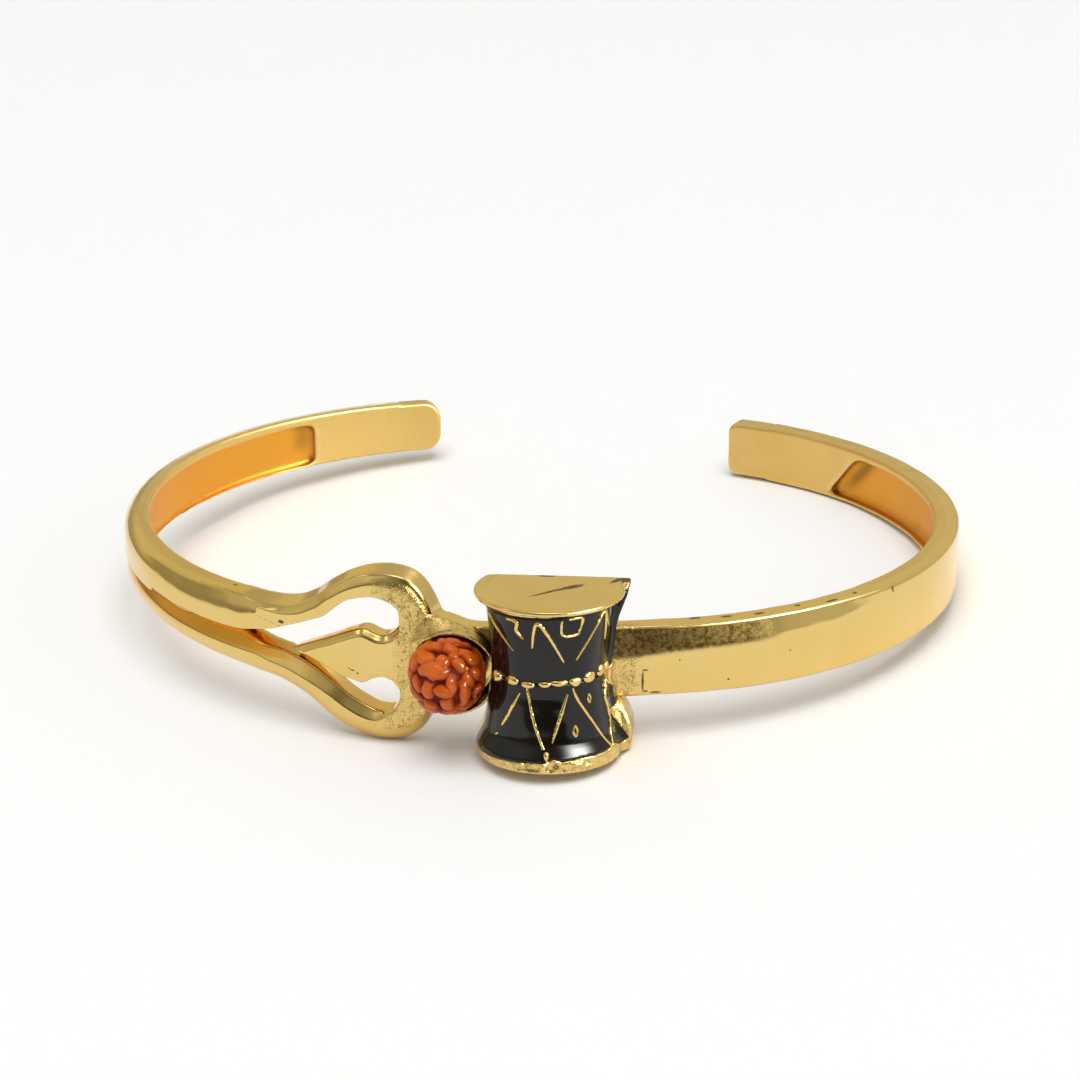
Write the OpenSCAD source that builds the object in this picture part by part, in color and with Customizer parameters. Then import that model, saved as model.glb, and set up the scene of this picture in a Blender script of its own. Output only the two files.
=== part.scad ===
// Open cuff bangle (kada) with a trident head, a seed bead in a cup and a small enamelled drum.
// Millimetres, +Z up, lying on its side as it rests by itself, floor at z = 0.
// Along the band, u is the arc length on the outer face from the lowest point of the front:
// positive to the right, negative to the left. w is the depth out of that face, z the height.

/* [Band plan] */
// Radius of the flat front of the band, outer face
front_r = 56; // [50:1:62]
// Turn of the front arc right of its middle, degrees
front_turn_right = 11.2; // [10:0.2:13]
// Turn of the front arc left of its middle, degrees
front_turn_left = 10.3; // [9:0.1:12]
// Radius of the right side, outer face
side_r_right = 27.7; // [26:0.1:29]
// Radius of the left side, outer face
side_r_left = 30.1; // [29:0.1:32]
// Turn of the right side arc, degrees
side_turn_right = 145.5; // [138:0.5:150]
// Turn of the left side arc, degrees
side_turn_left = 159.5; // [154:0.5:164]

/* [Band section] */
// Thickness of the band
band_t = 2.0; // [1.8:0.1:2.4]
// Height of the band at the front
height_front = 5.5; // [5.2:0.1:5.8]
// Height of the band at its two ends
height_end = 4.7; // [4.4:0.1:5]
// Height at which the outer face bends into its upper shoulder
shoulder_z = 1.0; // [0.6:0.1:1.4]
// How far the shoulder leans in at its top
shoulder_lean = 0.35; // [0.2:0.05:0.5]
// Depth of the channel inside the band
channel_depth = 0.75; // [0.4:0.05:0.8]
// Width of the rim above and below the channel
channel_rim = 0.65; // [0.5:0.05:0.9]
// Length of the solid pad at each end
pad_length = 12.8; // [10:0.2:15]
// Radius of the rounded corners of the two ends
end_corner_r = 1.6; // [1:0.1:2]

/* [Rails and trident] */
// Arc length at which the two rails run together again on the left
rails_end_u = -60; // [-66:1:-52]
// Depth of the groove between the rails
groove_depth = 0.85; // [0.5:0.05:0.9]
// Height of the middle of the trident head
head_z = -0.1; // [-0.3:0.05:0.1]
// Depth of the bevel along the front edge of the head
head_bevel = 0.45; // [0.3:0.05:0.6]

/* [Cup and bead] */
// Arc length of the middle of the cup
cup_u = -7.2; // [-7.6:0.1:-7]
// Height of the middle of the cup
cup_z = -0.45; // [-0.6:0.05:-0.2]
// Outer radius of the cup
cup_r = 3.25; // [3.2:0.01:3.35]
// Wall of the cup at its rim
cup_wall = 0.25; // [0.2:0.01:0.3]
// How far the rim stands out of the band
cup_rim_w = 1.2; // [0.9:0.05:1.4]
// How far the cup reaches back into the band
cup_depth = 1.6; // [1.5:0.05:1.8]
// Radius of the seed bead
bead_r = 2.9; // [2.8:0.01:2.95]
// How far the middle of the bead stands out of the band
bead_w = 1.7; // [1.6:0.05:1.9]
// Lobes of the bead
bead_lobes = 5; // [4:1:6]

/* [Drum] */
// Height of the drum
drum_h = 12.7; // [12.4:0.1:13]
// Height of the middle of the drum
drum_z = 0.05; // [0:0.05:0.5]
// How far the drum axis stands out of the band
drum_w = 0.85; // [0.8:0.05:1.1]
// Distance of the flat back behind the drum axis
drum_back = 2.85; // [2.6:0.05:3]
// Turn of the drum about its own axis, degrees
drum_yaw = -4.5; // [-6:0.5:-3]
// Lean of the drum away from the wearer, degrees
drum_lean = -1; // [-1.5:0.5:0]
// Thickness of the enamel
enamel_t = 0.35; // [0.3:0.01:0.4]
// Width of the lacing wires
wire_w = 0.28; // [0.24:0.02:0.34]
// Radius of the grains round the waist
grain_r = 0.42; // [0.36:0.02:0.46]

/* [Rest] */
// Angle by which the head and drum lift the front, degrees
rest_pitch = 3.695; // [3.6:0.005:3.8]
// Angle by which the left side sits higher, degrees
rest_roll = 2.525; // [2.4:0.005:2.6]
// Lift of the band's middle plane over the floor
rest_lift = 4.937; // [4.9:0.001:5]
// Shift to the right that centres the tilted outline
rest_shift_x = 0.036; // [-0.1:0.001:0.1]
// Shift to the back that centres the tilted outline
rest_shift_y = 0.112; // [0:0.001:0.2]

/* [Hidden] */
$fn = 48;
gap = 0.04;
gold = [0.85, 0.68, 0.33];
black = [0.09, 0.07, 0.05];
orange = [0.78, 0.25, 0.07];

// Half the height of the trident head along its length, as [u, half]
HEAD_OUTLINE = [
    [-23.6, 2.6], [-21.9, 2.9], [-20.3, 3.5], [-18.8, 4.4], [-17.2, 5.5], [-15.6, 6.4],
    [-13.9, 6.75], [-12.1, 6.85], [-10.8, 6.6], [-9.8, 6.0], [-9.0, 4.8], [-8.5, 3.5], [-7.6, 1.2]
];
// Half the height of the pierced opening between the prongs, as [u, half]
HEAD_OPENING = [
    [-22.4, 0.15], [-21.1, 1.2], [-19.3, 1.95], [-17.5, 2.75], [-16.7, 3.4], [-15.8, 4.1],
    [-14.7, 4.5], [-13.6, 4.65], [-12.6, 4.55], [-11.8, 4.15], [-11.35, 3.5], [-11.3, 2.9], [-11.5, 2.0]
];
// Half the height of the blade between the prongs, as [u, half]
BLADE = [
    [-19.4, 0.05], [-15.8, 1.05], [-13.9, 1.85], [-13.2, 1.4], [-12.7, 1.15], [-12.2, 1.3],
    [-11.6, 1.9], [-10.8, 3.0]
];
// Radius of the drum along its height, as [z, radius] from its middle
DRUM_PROFILE = [
    [drum_h / 2, 5.6], [drum_h / 2 - 0.4, 5.6], [drum_h / 2 - 0.5, 5.1], [5.0, 4.7], [3.0, 4.42], [1.0, 4.3],
    [-1.0, 4.3], [-3.0, 4.55], [-4.5, 5.0], [-5.5, 5.32], [-5.6, 5.42], [-drum_h / 2, 5.4]
];
// Half the width of the casting web behind the drum's right side, as [z, half width]
WEB_PROFILE = [
    [6.25, 5.95], [4.5, 5.4], [2.8, 5.0], [0, 4.6], [-2.6, 5.1], [-4.2, 5.9], [-5.6, 6.1], [-6.2, 5.7]
];
// Lacing wires, as [turn and height of one end, turn and height of the other end]
UPPER_WIRES = [
    [-64, 4.7, -31.5, 2.7], [-35, 4.9, -20.5, 3.8], [-12, 3.3, -7.5, 5.1], [-7.5, 5.1, 18, 2.1],
    [15.5, 5.1, 16, 4.2], [16, 4.2, 30, 4.2], [31, 2.2, 61, 4.9], [61, 4.9, 68, 3.1]
];
LOWER_WIRES = [
    [-25.5, -0.75, -42.5, -3.2], [-18, -0.75, 0, -4.5], [22.5, -0.75, 7, -4.0],
    [28, -0.75, 38, -2], [38, -2, 64, -4.7], [73, -0.75, 71, -2.2], [71, -2.2, 75, -4.6]
];
// Turn of each grain of the waist row
GRAINS = [-52, -29, -14.5, 0, 13.5, 27.5, 42.5, 58, 74];
// Sectors and heights of the two enamel fields, as [first turn, last turn, low z, high z]
UPPER_FIELD = [-78, 74, 0.75, 5.4];
LOWER_FIELD = [-74, 82, -5.2, -0.2];

rad = 180 / PI;
front_len_right = front_r * front_turn_right / rad;
front_len_left = front_r * front_turn_left / rad;
right_len = front_len_right + side_r_right * side_turn_right / rad;
left_len = front_len_left + side_r_left * side_turn_left / rad;
front_centre = [0, front_r - 28.2];
right_centre = front_centre + (front_r - side_r_right) * [sin(front_turn_right), -cos(front_turn_right)];
left_centre = front_centre + (front_r - side_r_left) * [-sin(front_turn_left), -cos(front_turn_left)];
// Middle of the outline seen from above, which becomes the origin
plan_middle = [
    (right_centre.x + side_r_right + left_centre.x - side_r_left) / 2,
    (left_centre.y + side_r_left * cos(180 - front_turn_left - side_turn_left) - 28.2 - drum_w - 5.6) / 2
];

// Heading of the band at arc length u, in degrees, 0 at the front
function heading(u) =
    u >= front_len_right ? front_turn_right + (u - front_len_right) / side_r_right * rad :
    u <= -front_len_left ? -front_turn_left + (u + front_len_left) / side_r_left * rad :
    u / front_r * rad;
function arc_centre(u) = u >= front_len_right ? right_centre : u <= -front_len_left ? left_centre : front_centre;
function arc_r(u) = u >= front_len_right ? side_r_right : u <= -front_len_left ? side_r_left : front_r;
// Place in plan at arc length u and depth w
function place(u, w = 0) = arc_centre(u) + (arc_r(u) + w) * [sin(heading(u)), -cos(heading(u))];
// Radius from a table of [z, radius] rows that runs downwards
function radius_at(table, z, i = 0) =
    i >= len(table) - 2 || z >= table[i + 1].x ?
        table[i].y + (table[i + 1].y - table[i].y) * (table[i].x - z) / (table[i].x - table[i + 1].x) :
        radius_at(table, z, i + 1);
// A smooth curve through the rows of a table, as a list of points
function smooth(t, steps = 3) = concat(
    [for (i = [0 : len(t) - 2]) for (k = [0 : steps - 1])
        let (a = t[max(i - 1, 0)], b = t[i], c = t[i + 1], d = t[min(i + 2, len(t) - 1)], f = k / steps)
        0.5 * (2 * b + (c - a) * f + (2 * a - 5 * b + 4 * c - d) * f * f + (3 * b - a - 3 * c + d) * f * f * f)],
    [t[len(t) - 1]]);
function reversed(t) = [for (i = [len(t) - 1 : -1 : 0]) t[i]];
// Closed outline from a table of [u, half height] rows, both sides of the middle
function both_sides(t) = concat(t, [for (p = reversed(t)) [p.x, -p.y]]);

// Sweeps a section of [w, z] along the band from arc length u0 to u1
module along_band(u0, u1) {
    cuts = [-left_len, -front_len_left, front_len_right, right_len];
    for (i = [0 : 2]) {
        a = max(u0, cuts[i]);
        b = min(u1, cuts[i + 1]);
        if (b - a > 0.01) {
            mid = (a + b) / 2;
            c = arc_centre(mid);
            turn = (b - a) / arc_r(mid) * rad;
            translate([c.x, c.y, 0])
                rotate([0, 0, heading(mid) - turn / 2 - 90])
                    rotate_extrude(angle = turn, $fn = 180) translate([arc_r(mid), 0]) children();
        }
    }
}

// Stands a shape drawn in [across, height] on the outer face at u, its depth along +w
module on_face(u, z = 0) {
    p = place(u);
    translate([p.x, p.y, z]) rotate([90, 0, heading(u)]) children();
}

// Tall block whose side view is the band's height, tapered from front to back
module height_envelope() {
    rotate([90, 0, 90])
        linear_extrude(height = 120, center = true)
            polygon([
                [-40, -height_front / 2], [-24, -height_front / 2], [32, -height_end / 2], [44, -height_end / 2],
                [44, height_end / 2], [32, height_end / 2], [-24, height_front / 2], [-40, height_front / 2]
            ]);
}

module plain_section() {
    slope = shoulder_lean / (height_front / 2 - shoulder_z);
    polygon([[-band_t, -4], [0, -4], [0, shoulder_z], [-slope * (4 - shoulder_z), 4], [-band_t, 4]]);
}

// What is taken out of the plain section to leave two rails with a groove between them
module groove_section() {
    polygon([[0.6, -1.6], [0.1, -1.2], [-0.3, -0.45], [-groove_depth, -0.1], [-0.2, 0.12], [0.1, 0.77], [0.6, 1.2]]);
}

// Cutter for the two corners of an end: a block less a disc, standing on the face
module end_corners(u, side) {
    h = height_end / 2;
    on_face(u) for (s = [-1, 1]) translate([-side * end_corner_r, s * (h - end_corner_r), -3])
        difference() {
            translate([side > 0 ? 0 : -3, s > 0 ? 0 : -3, 0]) cube([3, 3, 4]);
            cylinder(r = end_corner_r, h = 12, center = true);
        }
}

module band() {
    difference() {
        intersection() {
            along_band(-left_len, right_len) plain_section();
            height_envelope();
        }
        along_band(rails_end_u, -23) groove_section();
        along_band(12, right_len - pad_length) channel_section();
        along_band(pad_length - left_len, -27) channel_section();
        end_corners(right_len, 1);
        end_corners(-left_len, -1);
        head_space();
    }
}

module channel_section() {
    half = (height_front + height_end) / 4 - channel_rim;
    translate([-band_t - 0.5, -half]) square([channel_depth + 0.5, 2 * half]);
}

HEAD_U = -13;
head_t = band_t - 0.03;
// Puts a table of [u, height] rows into the plane that faces the head, in [across, height]
function facing_head(t) = [for (p = t) let (d = place(p.x) - place(HEAD_U))
    [d.x * cos(heading(HEAD_U)) + d.y * sin(heading(HEAD_U)), p.y]];

module head_prism(table, depth_out) {
    on_face(HEAD_U, head_z) translate([0, 0, -12])
        linear_extrude(height = 12 + depth_out) polygon(facing_head(both_sides(smooth(table))));
}

// The stretch of band that the pierced head takes the place of
module head_space() {
    on_face(HEAD_U, head_z) translate([0, 0, -12])
        linear_extrude(height = 24) polygon(facing_head([[-23.4, -4], [-23.4, 4], [-9.8, 4], [-9.8, -4]]));
}

// Curved slab that the head is cut from, between two depths, on the left side's arc
module head_slab(w0, w1) {
    start = heading(-26);
    translate([left_centre.x, left_centre.y, 0]) rotate([0, 0, start - 90])
        rotate_extrude(angle = 38, $fn = 180) translate([side_r_left + w0, -8]) square([w1 - w0, 16]);
}

module trident_head() {
    bevelled = [for (p = HEAD_OUTLINE) [p.x + (p.x > -11 ? -head_bevel : 0), p.y - head_bevel]];
    difference() {
        union() {
            intersection() {
                head_prism(HEAD_OUTLINE, 4);
                head_slab(-head_t, -head_bevel);
            }
            intersection() {
                head_prism(bevelled, 4);
                head_slab(-head_bevel - 0.1, 0.03);
            }
        }
        head_prism(HEAD_OPENING, 6);
    }
    intersection() {
        head_prism(BLADE, 4);
        head_slab(-head_t, -0.04);
    }
}

module bead_cup() {
    on_face(cup_u, cup_z) translate([0, 0, -cup_depth]) cylinder(r = cup_r, h = cup_depth + cup_rim_w);
}

module cup_bore() {
    floor_w = bead_w - bead_r - 0.06;
    on_face(cup_u, cup_z) translate([0, 0, floor_w]) cylinder(r = cup_r - cup_wall, h = 6);
}

// Sets a shape drawn about the drum's own axis in its place
module at_drum() {
    translate([-0.1, -28.2 - drum_w, drum_z]) rotate([drum_lean, 0, drum_yaw]) children();
}

module drum_solid(grow = 0) {
    pts = [for (p = DRUM_PROFILE) [p.y + grow, p.x]];
    rotate_extrude($fn = 96) polygon(concat([[0, drum_h / 2]], pts, [[0, -drum_h / 2]]));
}

module drum_front() {
    translate([-10, -20, -10]) cube([20, 20 + drum_back, 20]);
}

// Ring sector of the drum's skin between two turns and two heights
module field(f, depth, out = 0, margin = 0) {
    a = f[0] - margin * 12;
    b = f[1] + margin * 12;
    zs = [for (k = [0 : 6]) f[2] - margin + (f[3] - f[2] + 2 * margin) * k / 6];
    outer = [for (z = zs) [radius_at(DRUM_PROFILE, z) + out, z]];
    inner = [for (z = reversed(zs)) [radius_at(DRUM_PROFILE, z) - depth, z]];
    rotate([0, 0, a - 90]) rotate_extrude(angle = b - a, $fn = 96) polygon(concat(outer, inner));
}

// Straight bars laid on the skin between the two ends of each row of a wire table
module wire_bars(table, width, longer = 0) {
    for (r = table) {
        mid_turn = (r[0] + r[2]) / 2;
        mid_z = (r[1] + r[3]) / 2;
        rm = radius_at(DRUM_PROFILE, mid_z);
        across = 2 * rm * sin((r[2] - r[0]) / 2);
        rise = r[3] - r[1];
        rotate([0, 0, mid_turn]) translate([0, -rm, mid_z]) rotate([0, -atan2(rise, across), 0])
            cube([norm([across, rise]) + longer, 2.4, width], center = true);
    }
}

module wires(table, f) {
    intersection() {
        wire_bars(table, wire_w);
        field(f, enamel_t + 0.2, 0.08, 0.02);
    }
}

module grains() {
    for (a = GRAINS) rotate([0, 0, a]) translate([0, -4.25, 0.3]) sphere(r = grain_r, $fn = 24);
}

module casting_web() {
    right = [for (p = WEB_PROFILE) [p.y, p.x]];
    rotate([90, 0, 0]) translate([0, 0, -drum_back])
        linear_extrude(height = 1.6) polygon(concat([[0, WEB_PROFILE[0].x]], right, [[0, -6.2]]));
}

module drum() {
    difference() {
        intersection() {
            drum_solid();
            drum_front();
        }
        field(UPPER_FIELD, enamel_t + gap, 2, gap);
        field(LOWER_FIELD, enamel_t + gap, 2, gap);
    }
    casting_web();
    grains();
    wires(UPPER_WIRES, UPPER_FIELD);
    wires(LOWER_WIRES, LOWER_FIELD);
}

module resting() {
    translate([rest_shift_x, rest_shift_y, rest_lift]) rotate([-rest_pitch, 0, 0]) rotate([0, rest_roll, 0])
        translate([-plan_middle.x, -plan_middle.y, 0]) children();
}

module cuff_casting() {
    color(gold) resting() difference() {
        union() {
            band();
            trident_head();
            bead_cup();
            at_drum() drum();
        }
        cup_bore();
    }
}

module enamel(f, table) {
    color(black) resting() at_drum() difference() {
        field(f, enamel_t);
        wire_bars(table, wire_w + 2 * gap, 2 * gap);
        grains_clear();
    }
}

module grains_clear() {
    for (a = GRAINS) rotate([0, 0, a]) translate([0, -4.25, 0.3]) sphere(r = grain_r + gap, $fn = 24);
}

module enamel_upper() {
    enamel(UPPER_FIELD, UPPER_WIRES);
}

module enamel_lower() {
    enamel(LOWER_FIELD, LOWER_WIRES);
}

// Seed bead: a ball with a groove between its lobes and knobbly ridges on them
module rudraksha_bead() {
    rows = 18;
    cols = 40;
    function relief(a, t) = 1 - 0.1 * pow(abs(cos(a * bead_lobes / 2)), 6) * sin(t)
        - 0.035 * (1 + sin(3 * bead_lobes * a / 2 + 5 * t) * sin(7 * t + 40)) * sin(t);
    function point(i, j) = let (t = 180 * i / rows, a = 360 * j / cols, r = bead_r * relief(a, t))
        [r * sin(t) * cos(a), r * sin(t) * sin(a), r * cos(t)];
    points = concat([for (i = [1 : rows - 1]) for (j = [0 : cols - 1]) point(i, j)],
        [[0, 0, bead_r * 0.93], [0, 0, -bead_r * 0.93]]);
    top = len(points) - 2;
    faces = concat(
        [for (j = [0 : cols - 1]) [top, (j + 1) % cols, j]],
        [for (i = [0 : rows - 3]) for (j = [0 : cols - 1])
            let (a = i * cols + j, b = i * cols + (j + 1) % cols) each [[a, b, b + cols], [a, b + cols, a + cols]]],
        [for (j = [0 : cols - 1]) let (s = (rows - 2) * cols) [top + 1, s + j, s + (j + 1) % cols]]);
    color(orange) resting() on_face(cup_u, cup_z) translate([0, 0, bead_w]) polyhedron(points, faces);
}

cuff_casting();
enamel_upper();
enamel_lower();
rudraksha_bead();
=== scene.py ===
"""Kada bangle: an open cast cuff with a trident head, a seed bead in a cup and an enamelled drum."""

import math

import bpy
import numpy as np
from mathutils import Matrix, Vector


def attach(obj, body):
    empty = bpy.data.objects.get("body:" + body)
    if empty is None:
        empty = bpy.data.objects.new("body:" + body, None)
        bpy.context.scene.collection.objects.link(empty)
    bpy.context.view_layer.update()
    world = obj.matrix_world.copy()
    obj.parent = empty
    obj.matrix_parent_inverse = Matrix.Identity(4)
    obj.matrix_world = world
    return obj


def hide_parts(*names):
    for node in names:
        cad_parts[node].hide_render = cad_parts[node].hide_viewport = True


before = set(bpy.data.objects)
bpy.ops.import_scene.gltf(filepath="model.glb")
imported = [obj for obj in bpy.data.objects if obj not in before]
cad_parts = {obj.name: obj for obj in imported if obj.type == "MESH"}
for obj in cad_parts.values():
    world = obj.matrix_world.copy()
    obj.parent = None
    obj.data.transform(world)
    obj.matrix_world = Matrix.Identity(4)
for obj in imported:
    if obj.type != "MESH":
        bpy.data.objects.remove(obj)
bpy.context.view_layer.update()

MM = 0.001

# The band's plan, as in the part's source, in millimetres and degrees
FRONT_R = 56.0
FRONT_LOW = -28.2
TURN_RIGHT, TURN_LEFT = 11.2, 10.3
SIDE_R_RIGHT, SIDE_R_LEFT = 27.7, 30.1
SIDE_TURN_RIGHT, SIDE_TURN_LEFT = 145.5, 159.5
BAND_T = 2.0
DRUM_W, DRUM_Z = 0.85, 0.05
DRUM_YAW, DRUM_LEAN = -4.5, -1.0
DRUM_TOP_R = 5.6
# The pose in which it lies: front up, left side up, and the shift that puts its lowest points on the floor
REST_PITCH, REST_ROLL = 3.695, 2.525
REST_SHIFT = np.array([0.036, 0.112, 4.937])

LEN_FRONT_RIGHT = FRONT_R * math.radians(TURN_RIGHT)
LEN_FRONT_LEFT = FRONT_R * math.radians(TURN_LEFT)
LEN_RIGHT = LEN_FRONT_RIGHT + SIDE_R_RIGHT * math.radians(SIDE_TURN_RIGHT)
LEN_LEFT = LEN_FRONT_LEFT + SIDE_R_LEFT * math.radians(SIDE_TURN_LEFT)
FRONT_C = np.array([0.0, FRONT_LOW + FRONT_R])


def turned_centre(turn, radius):
    a = math.radians(turn)
    return FRONT_C + (FRONT_R - radius) * np.array([math.sin(a), -math.cos(a)])


RIGHT_C = turned_centre(TURN_RIGHT, SIDE_R_RIGHT)
LEFT_C = turned_centre(-TURN_LEFT, SIDE_R_LEFT)
LEFT_TIP_Y = LEFT_C[1] + SIDE_R_LEFT * math.cos(math.radians(180 - TURN_LEFT - SIDE_TURN_LEFT))
PLAN_MIDDLE = np.array([
    (RIGHT_C[0] + SIDE_R_RIGHT + LEFT_C[0] - SIDE_R_LEFT) / 2,
    (LEFT_TIP_Y + FRONT_LOW - DRUM_W - DRUM_TOP_R) / 2,
    0.0,
])


def turn_about(axis, degrees):
    return np.array(Matrix.Rotation(math.radians(degrees), 3, axis))


REST = turn_about("X", -REST_PITCH) @ turn_about("Y", REST_ROLL)


def rested(p):
    """Points of the flat plan, in millimetres, put into the pose in which the bangle lies."""
    return (np.asarray(p, float) - PLAN_MIDDLE) @ REST.T + REST_SHIFT


def heading(u):
    """Direction of the band at arc length u, in radians, 0 at the front."""
    a = u / FRONT_R
    a = np.where(u > LEN_FRONT_RIGHT, math.radians(TURN_RIGHT) + (u - LEN_FRONT_RIGHT) / SIDE_R_RIGHT, a)
    return np.where(u < -LEN_FRONT_LEFT, -math.radians(TURN_LEFT) + (u + LEN_FRONT_LEFT) / SIDE_R_LEFT, a)


def place(u, z, w):
    """Points of the flat plan at arc length u, height z and depth w out of the outer face."""
    a = heading(u)
    right, left = u > LEN_FRONT_RIGHT, u < -LEN_FRONT_LEFT
    cx = np.where(right, RIGHT_C[0], np.where(left, LEFT_C[0], FRONT_C[0]))
    cy = np.where(right, RIGHT_C[1], np.where(left, LEFT_C[1], FRONT_C[1]))
    r = np.where(right, SIDE_R_RIGHT, np.where(left, SIDE_R_LEFT, FRONT_R)) + w
    return np.stack([cx + r * np.sin(a), cy - r * np.cos(a), z + 0 * a], axis=-1)


def spot(u, z, w=0.0):
    """One point on the band, in the pose, in metres."""
    return rested(place(np.array(float(u)), float(z), float(w))) * MM


# Camera: carried with the bangle from its flat position into the pose

CAM_TARGET = np.array([-0.782, 0.0, -0.13])
CAM_ELEVATION = 19.5
CAM_DISTANCE = 300.0
CAM_LENS = 122.45
CAM_SENSOR = 36.0
# What it sees begins and ends at these distances, in metres
CAM_CLIP = (0.01, 20.0)


def make_camera():
    e = math.radians(CAM_ELEVATION)
    back = np.array([0.0, -math.cos(e), math.sin(e)])
    up = np.array([0.0, math.sin(e), math.cos(e)])
    eye = rested(CAM_TARGET + CAM_DISTANCE * back) * MM
    z_axis = Vector(REST @ back)
    y_axis = Vector(REST @ up)
    x_axis = y_axis.cross(z_axis)
    data = bpy.data.cameras.new("camera")
    data.lens = CAM_LENS
    data.sensor_width = CAM_SENSOR
    data.clip_start, data.clip_end = CAM_CLIP
    cam = bpy.data.objects.new("camera", data)
    turned = Matrix((x_axis, y_axis, z_axis)).transposed().to_4x4()
    cam.matrix_world = Matrix.Translation(Vector(eye)) @ turned
    bpy.context.scene.collection.objects.link(cam)
    bpy.context.scene.camera = cam


make_camera()


# Solid shapes as distance functions, and the skin that is laid over them

def soft_min(a, b, k):
    h = np.maximum(k - np.abs(a - b), 0.0)
    return np.minimum(a, b) - h * h / (4 * k)


def soft_max(a, b, k):
    return -soft_min(-a, -b, k)


def soft_step(x, lo, hi):
    t = np.clip((x - lo) / (hi - lo), 0.0, 1.0)
    return t * t * (3 - 2 * t)


def curve(rows, steps=6):
    """A smooth curve through the rows of a table."""
    t = np.array(rows, float)
    p = np.vstack([t[0], t, t[-1]])
    f = (np.arange(steps) / steps)[:, None]
    out = []
    for a, b, c, d in zip(p[:-3], p[1:-2], p[2:-1], p[3:]):
        bow = 2 * a - 5 * b + 4 * c - d
        twist = 3 * b - a - 3 * c + d
        out.append(0.5 * (2 * b + (c - a) * f + bow * f**2 + twist * f**3))
    return np.vstack(out + [t[-1:]])


def table(rows):
    """A smooth function of u from rows of [u, value] that run to the right."""
    c = curve(rows)
    return lambda u: np.interp(u, c[:, 0], c[:, 1])


def outline_distance(ring, u, z):
    """Distance to a closed outline in the plane of u and z, negative inside."""
    best = np.full(u.shape, 1e9)
    inside = np.zeros(u.shape, bool)
    for (au, az), (bu, bz) in zip(ring, np.roll(ring, -1, axis=0)):
        du, dz = bu - au, bz - az
        long = du * du + dz * dz
        if long < 1e-12:
            continue
        t = np.clip(((u - au) * du + (z - az) * dz) / long, 0, 1)
        best = np.minimum(best, (u - au - t * du) ** 2 + (z - az - t * dz) ** 2)
        if az != bz:
            inside ^= ((az > z) != (bz > z)) & (u < du * (z - az) / dz + au)
    return np.where(inside, -1, 1) * np.sqrt(best)


class Outline:
    """An outline's distance, worked out once on a plane grid and read between its points."""

    def __init__(self, ring, us, zs):
        self.us, self.z0, self.dz = us, zs[0], zs[1] - zs[0]
        self.d = outline_distance(np.asarray(ring, float), *np.meshgrid(us, zs, indexing="ij"))

    def __call__(self, u, z):
        fi = np.clip(np.interp(u, self.us, np.arange(len(self.us))), 0, len(self.us) - 1.001)
        fj = np.clip((z - self.z0) / self.dz, 0, self.d.shape[1] - 1.001)
        i, j = fi.astype(int), fj.astype(int)
        a, b = fi - i, fj - j
        d = self.d
        return (d[i, j] * (1 - a) * (1 - b) + d[i + 1, j] * a * (1 - b)
                + d[i, j + 1] * (1 - a) * b + d[i + 1, j + 1] * a * b)


def skin(f, xs, ys, zs, evenings=2, passes=4):
    """A closed skin of quads on a box grid where the distance f is zero, pulled onto that surface."""
    grid = np.meshgrid(xs, ys, zs, indexing="ij")
    v = f(*grid)
    inside = v < 0
    shape = tuple(n - 1 for n in v.shape)
    corner = [(i, j, k) for i in (0, 1) for j in (0, 1) for k in (0, 1)]
    count = np.zeros(shape, np.int8)
    for i, j, k in corner:
        count += inside[i:i + shape[0], j:j + shape[1], k:k + shape[2]]
    mixed = (count > 0) & (count < 8)
    cell = np.argwhere(mixed)
    number = np.full(shape, -1, np.int64)
    number[mixed] = np.arange(len(cell))
    total, hits = np.zeros((len(cell), 3)), np.zeros(len(cell))
    axes = (xs, ys, zs)
    for a in range(3):
        for c in corner:
            if c[a]:
                continue
            lo = cell + np.array(c)
            hi = lo.copy()
            hi[:, a] += 1
            v0, v1 = v[tuple(lo.T)], v[tuple(hi.T)]
            cross = (v0 < 0) != (v1 < 0)
            t = np.where(cross, v0 / np.where(v0 == v1, 1, v0 - v1), 0)
            p = np.stack([axes[b][lo[:, b]] for b in range(3)], axis=1)
            p[:, a] += t * (axes[a][hi[:, a]] - axes[a][lo[:, a]])
            total += p * cross[:, None]
            hits += cross
    points = total / hits[:, None]
    faces = []
    for a in range(3):
        b, c = (a + 1) % 3, (a + 2) % 3
        n = [slice(0, s) for s in inside.shape]
        m = [slice(0, s) for s in inside.shape]
        n[a], m[a] = slice(0, -1), slice(1, None)
        edge = np.argwhere(inside[tuple(n)] != inside[tuple(m)])
        for side in (b, c):
            edge = edge[(edge[:, side] > 0) & (edge[:, side] < shape[side])]
        quad = []
        for sb, sc in ((1, 1), (0, 1), (0, 0), (1, 0)):
            e = edge.copy()
            e[:, b] -= sb
            e[:, c] -= sc
            quad.append(number[tuple(e.T)])
        quad = np.stack(quad, axis=1)
        starts_inside = inside[tuple(edge.T)]
        faces.append(np.where(starts_inside[:, None], quad, quad[:, ::-1]))
    faces = np.vstack(faces)
    for _ in range(evenings):
        points = 0.5 * points + 0.5 * neighbours(points, faces)
    for _ in range(passes):
        points = pulled(f, points)
    return points, faces


def neighbours(points, faces):
    """The mean of each point's neighbours on the skin."""
    a = faces.ravel()
    b = np.roll(faces, -1, axis=1).ravel()
    n = len(points)
    weight = np.bincount(a, minlength=n) + np.bincount(b, minlength=n)
    out = np.empty_like(points)
    for k in range(3):
        out[:, k] = np.bincount(a, points[b, k], n) + np.bincount(b, points[a, k], n)
    return out / np.maximum(weight, 1)[:, None]


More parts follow.
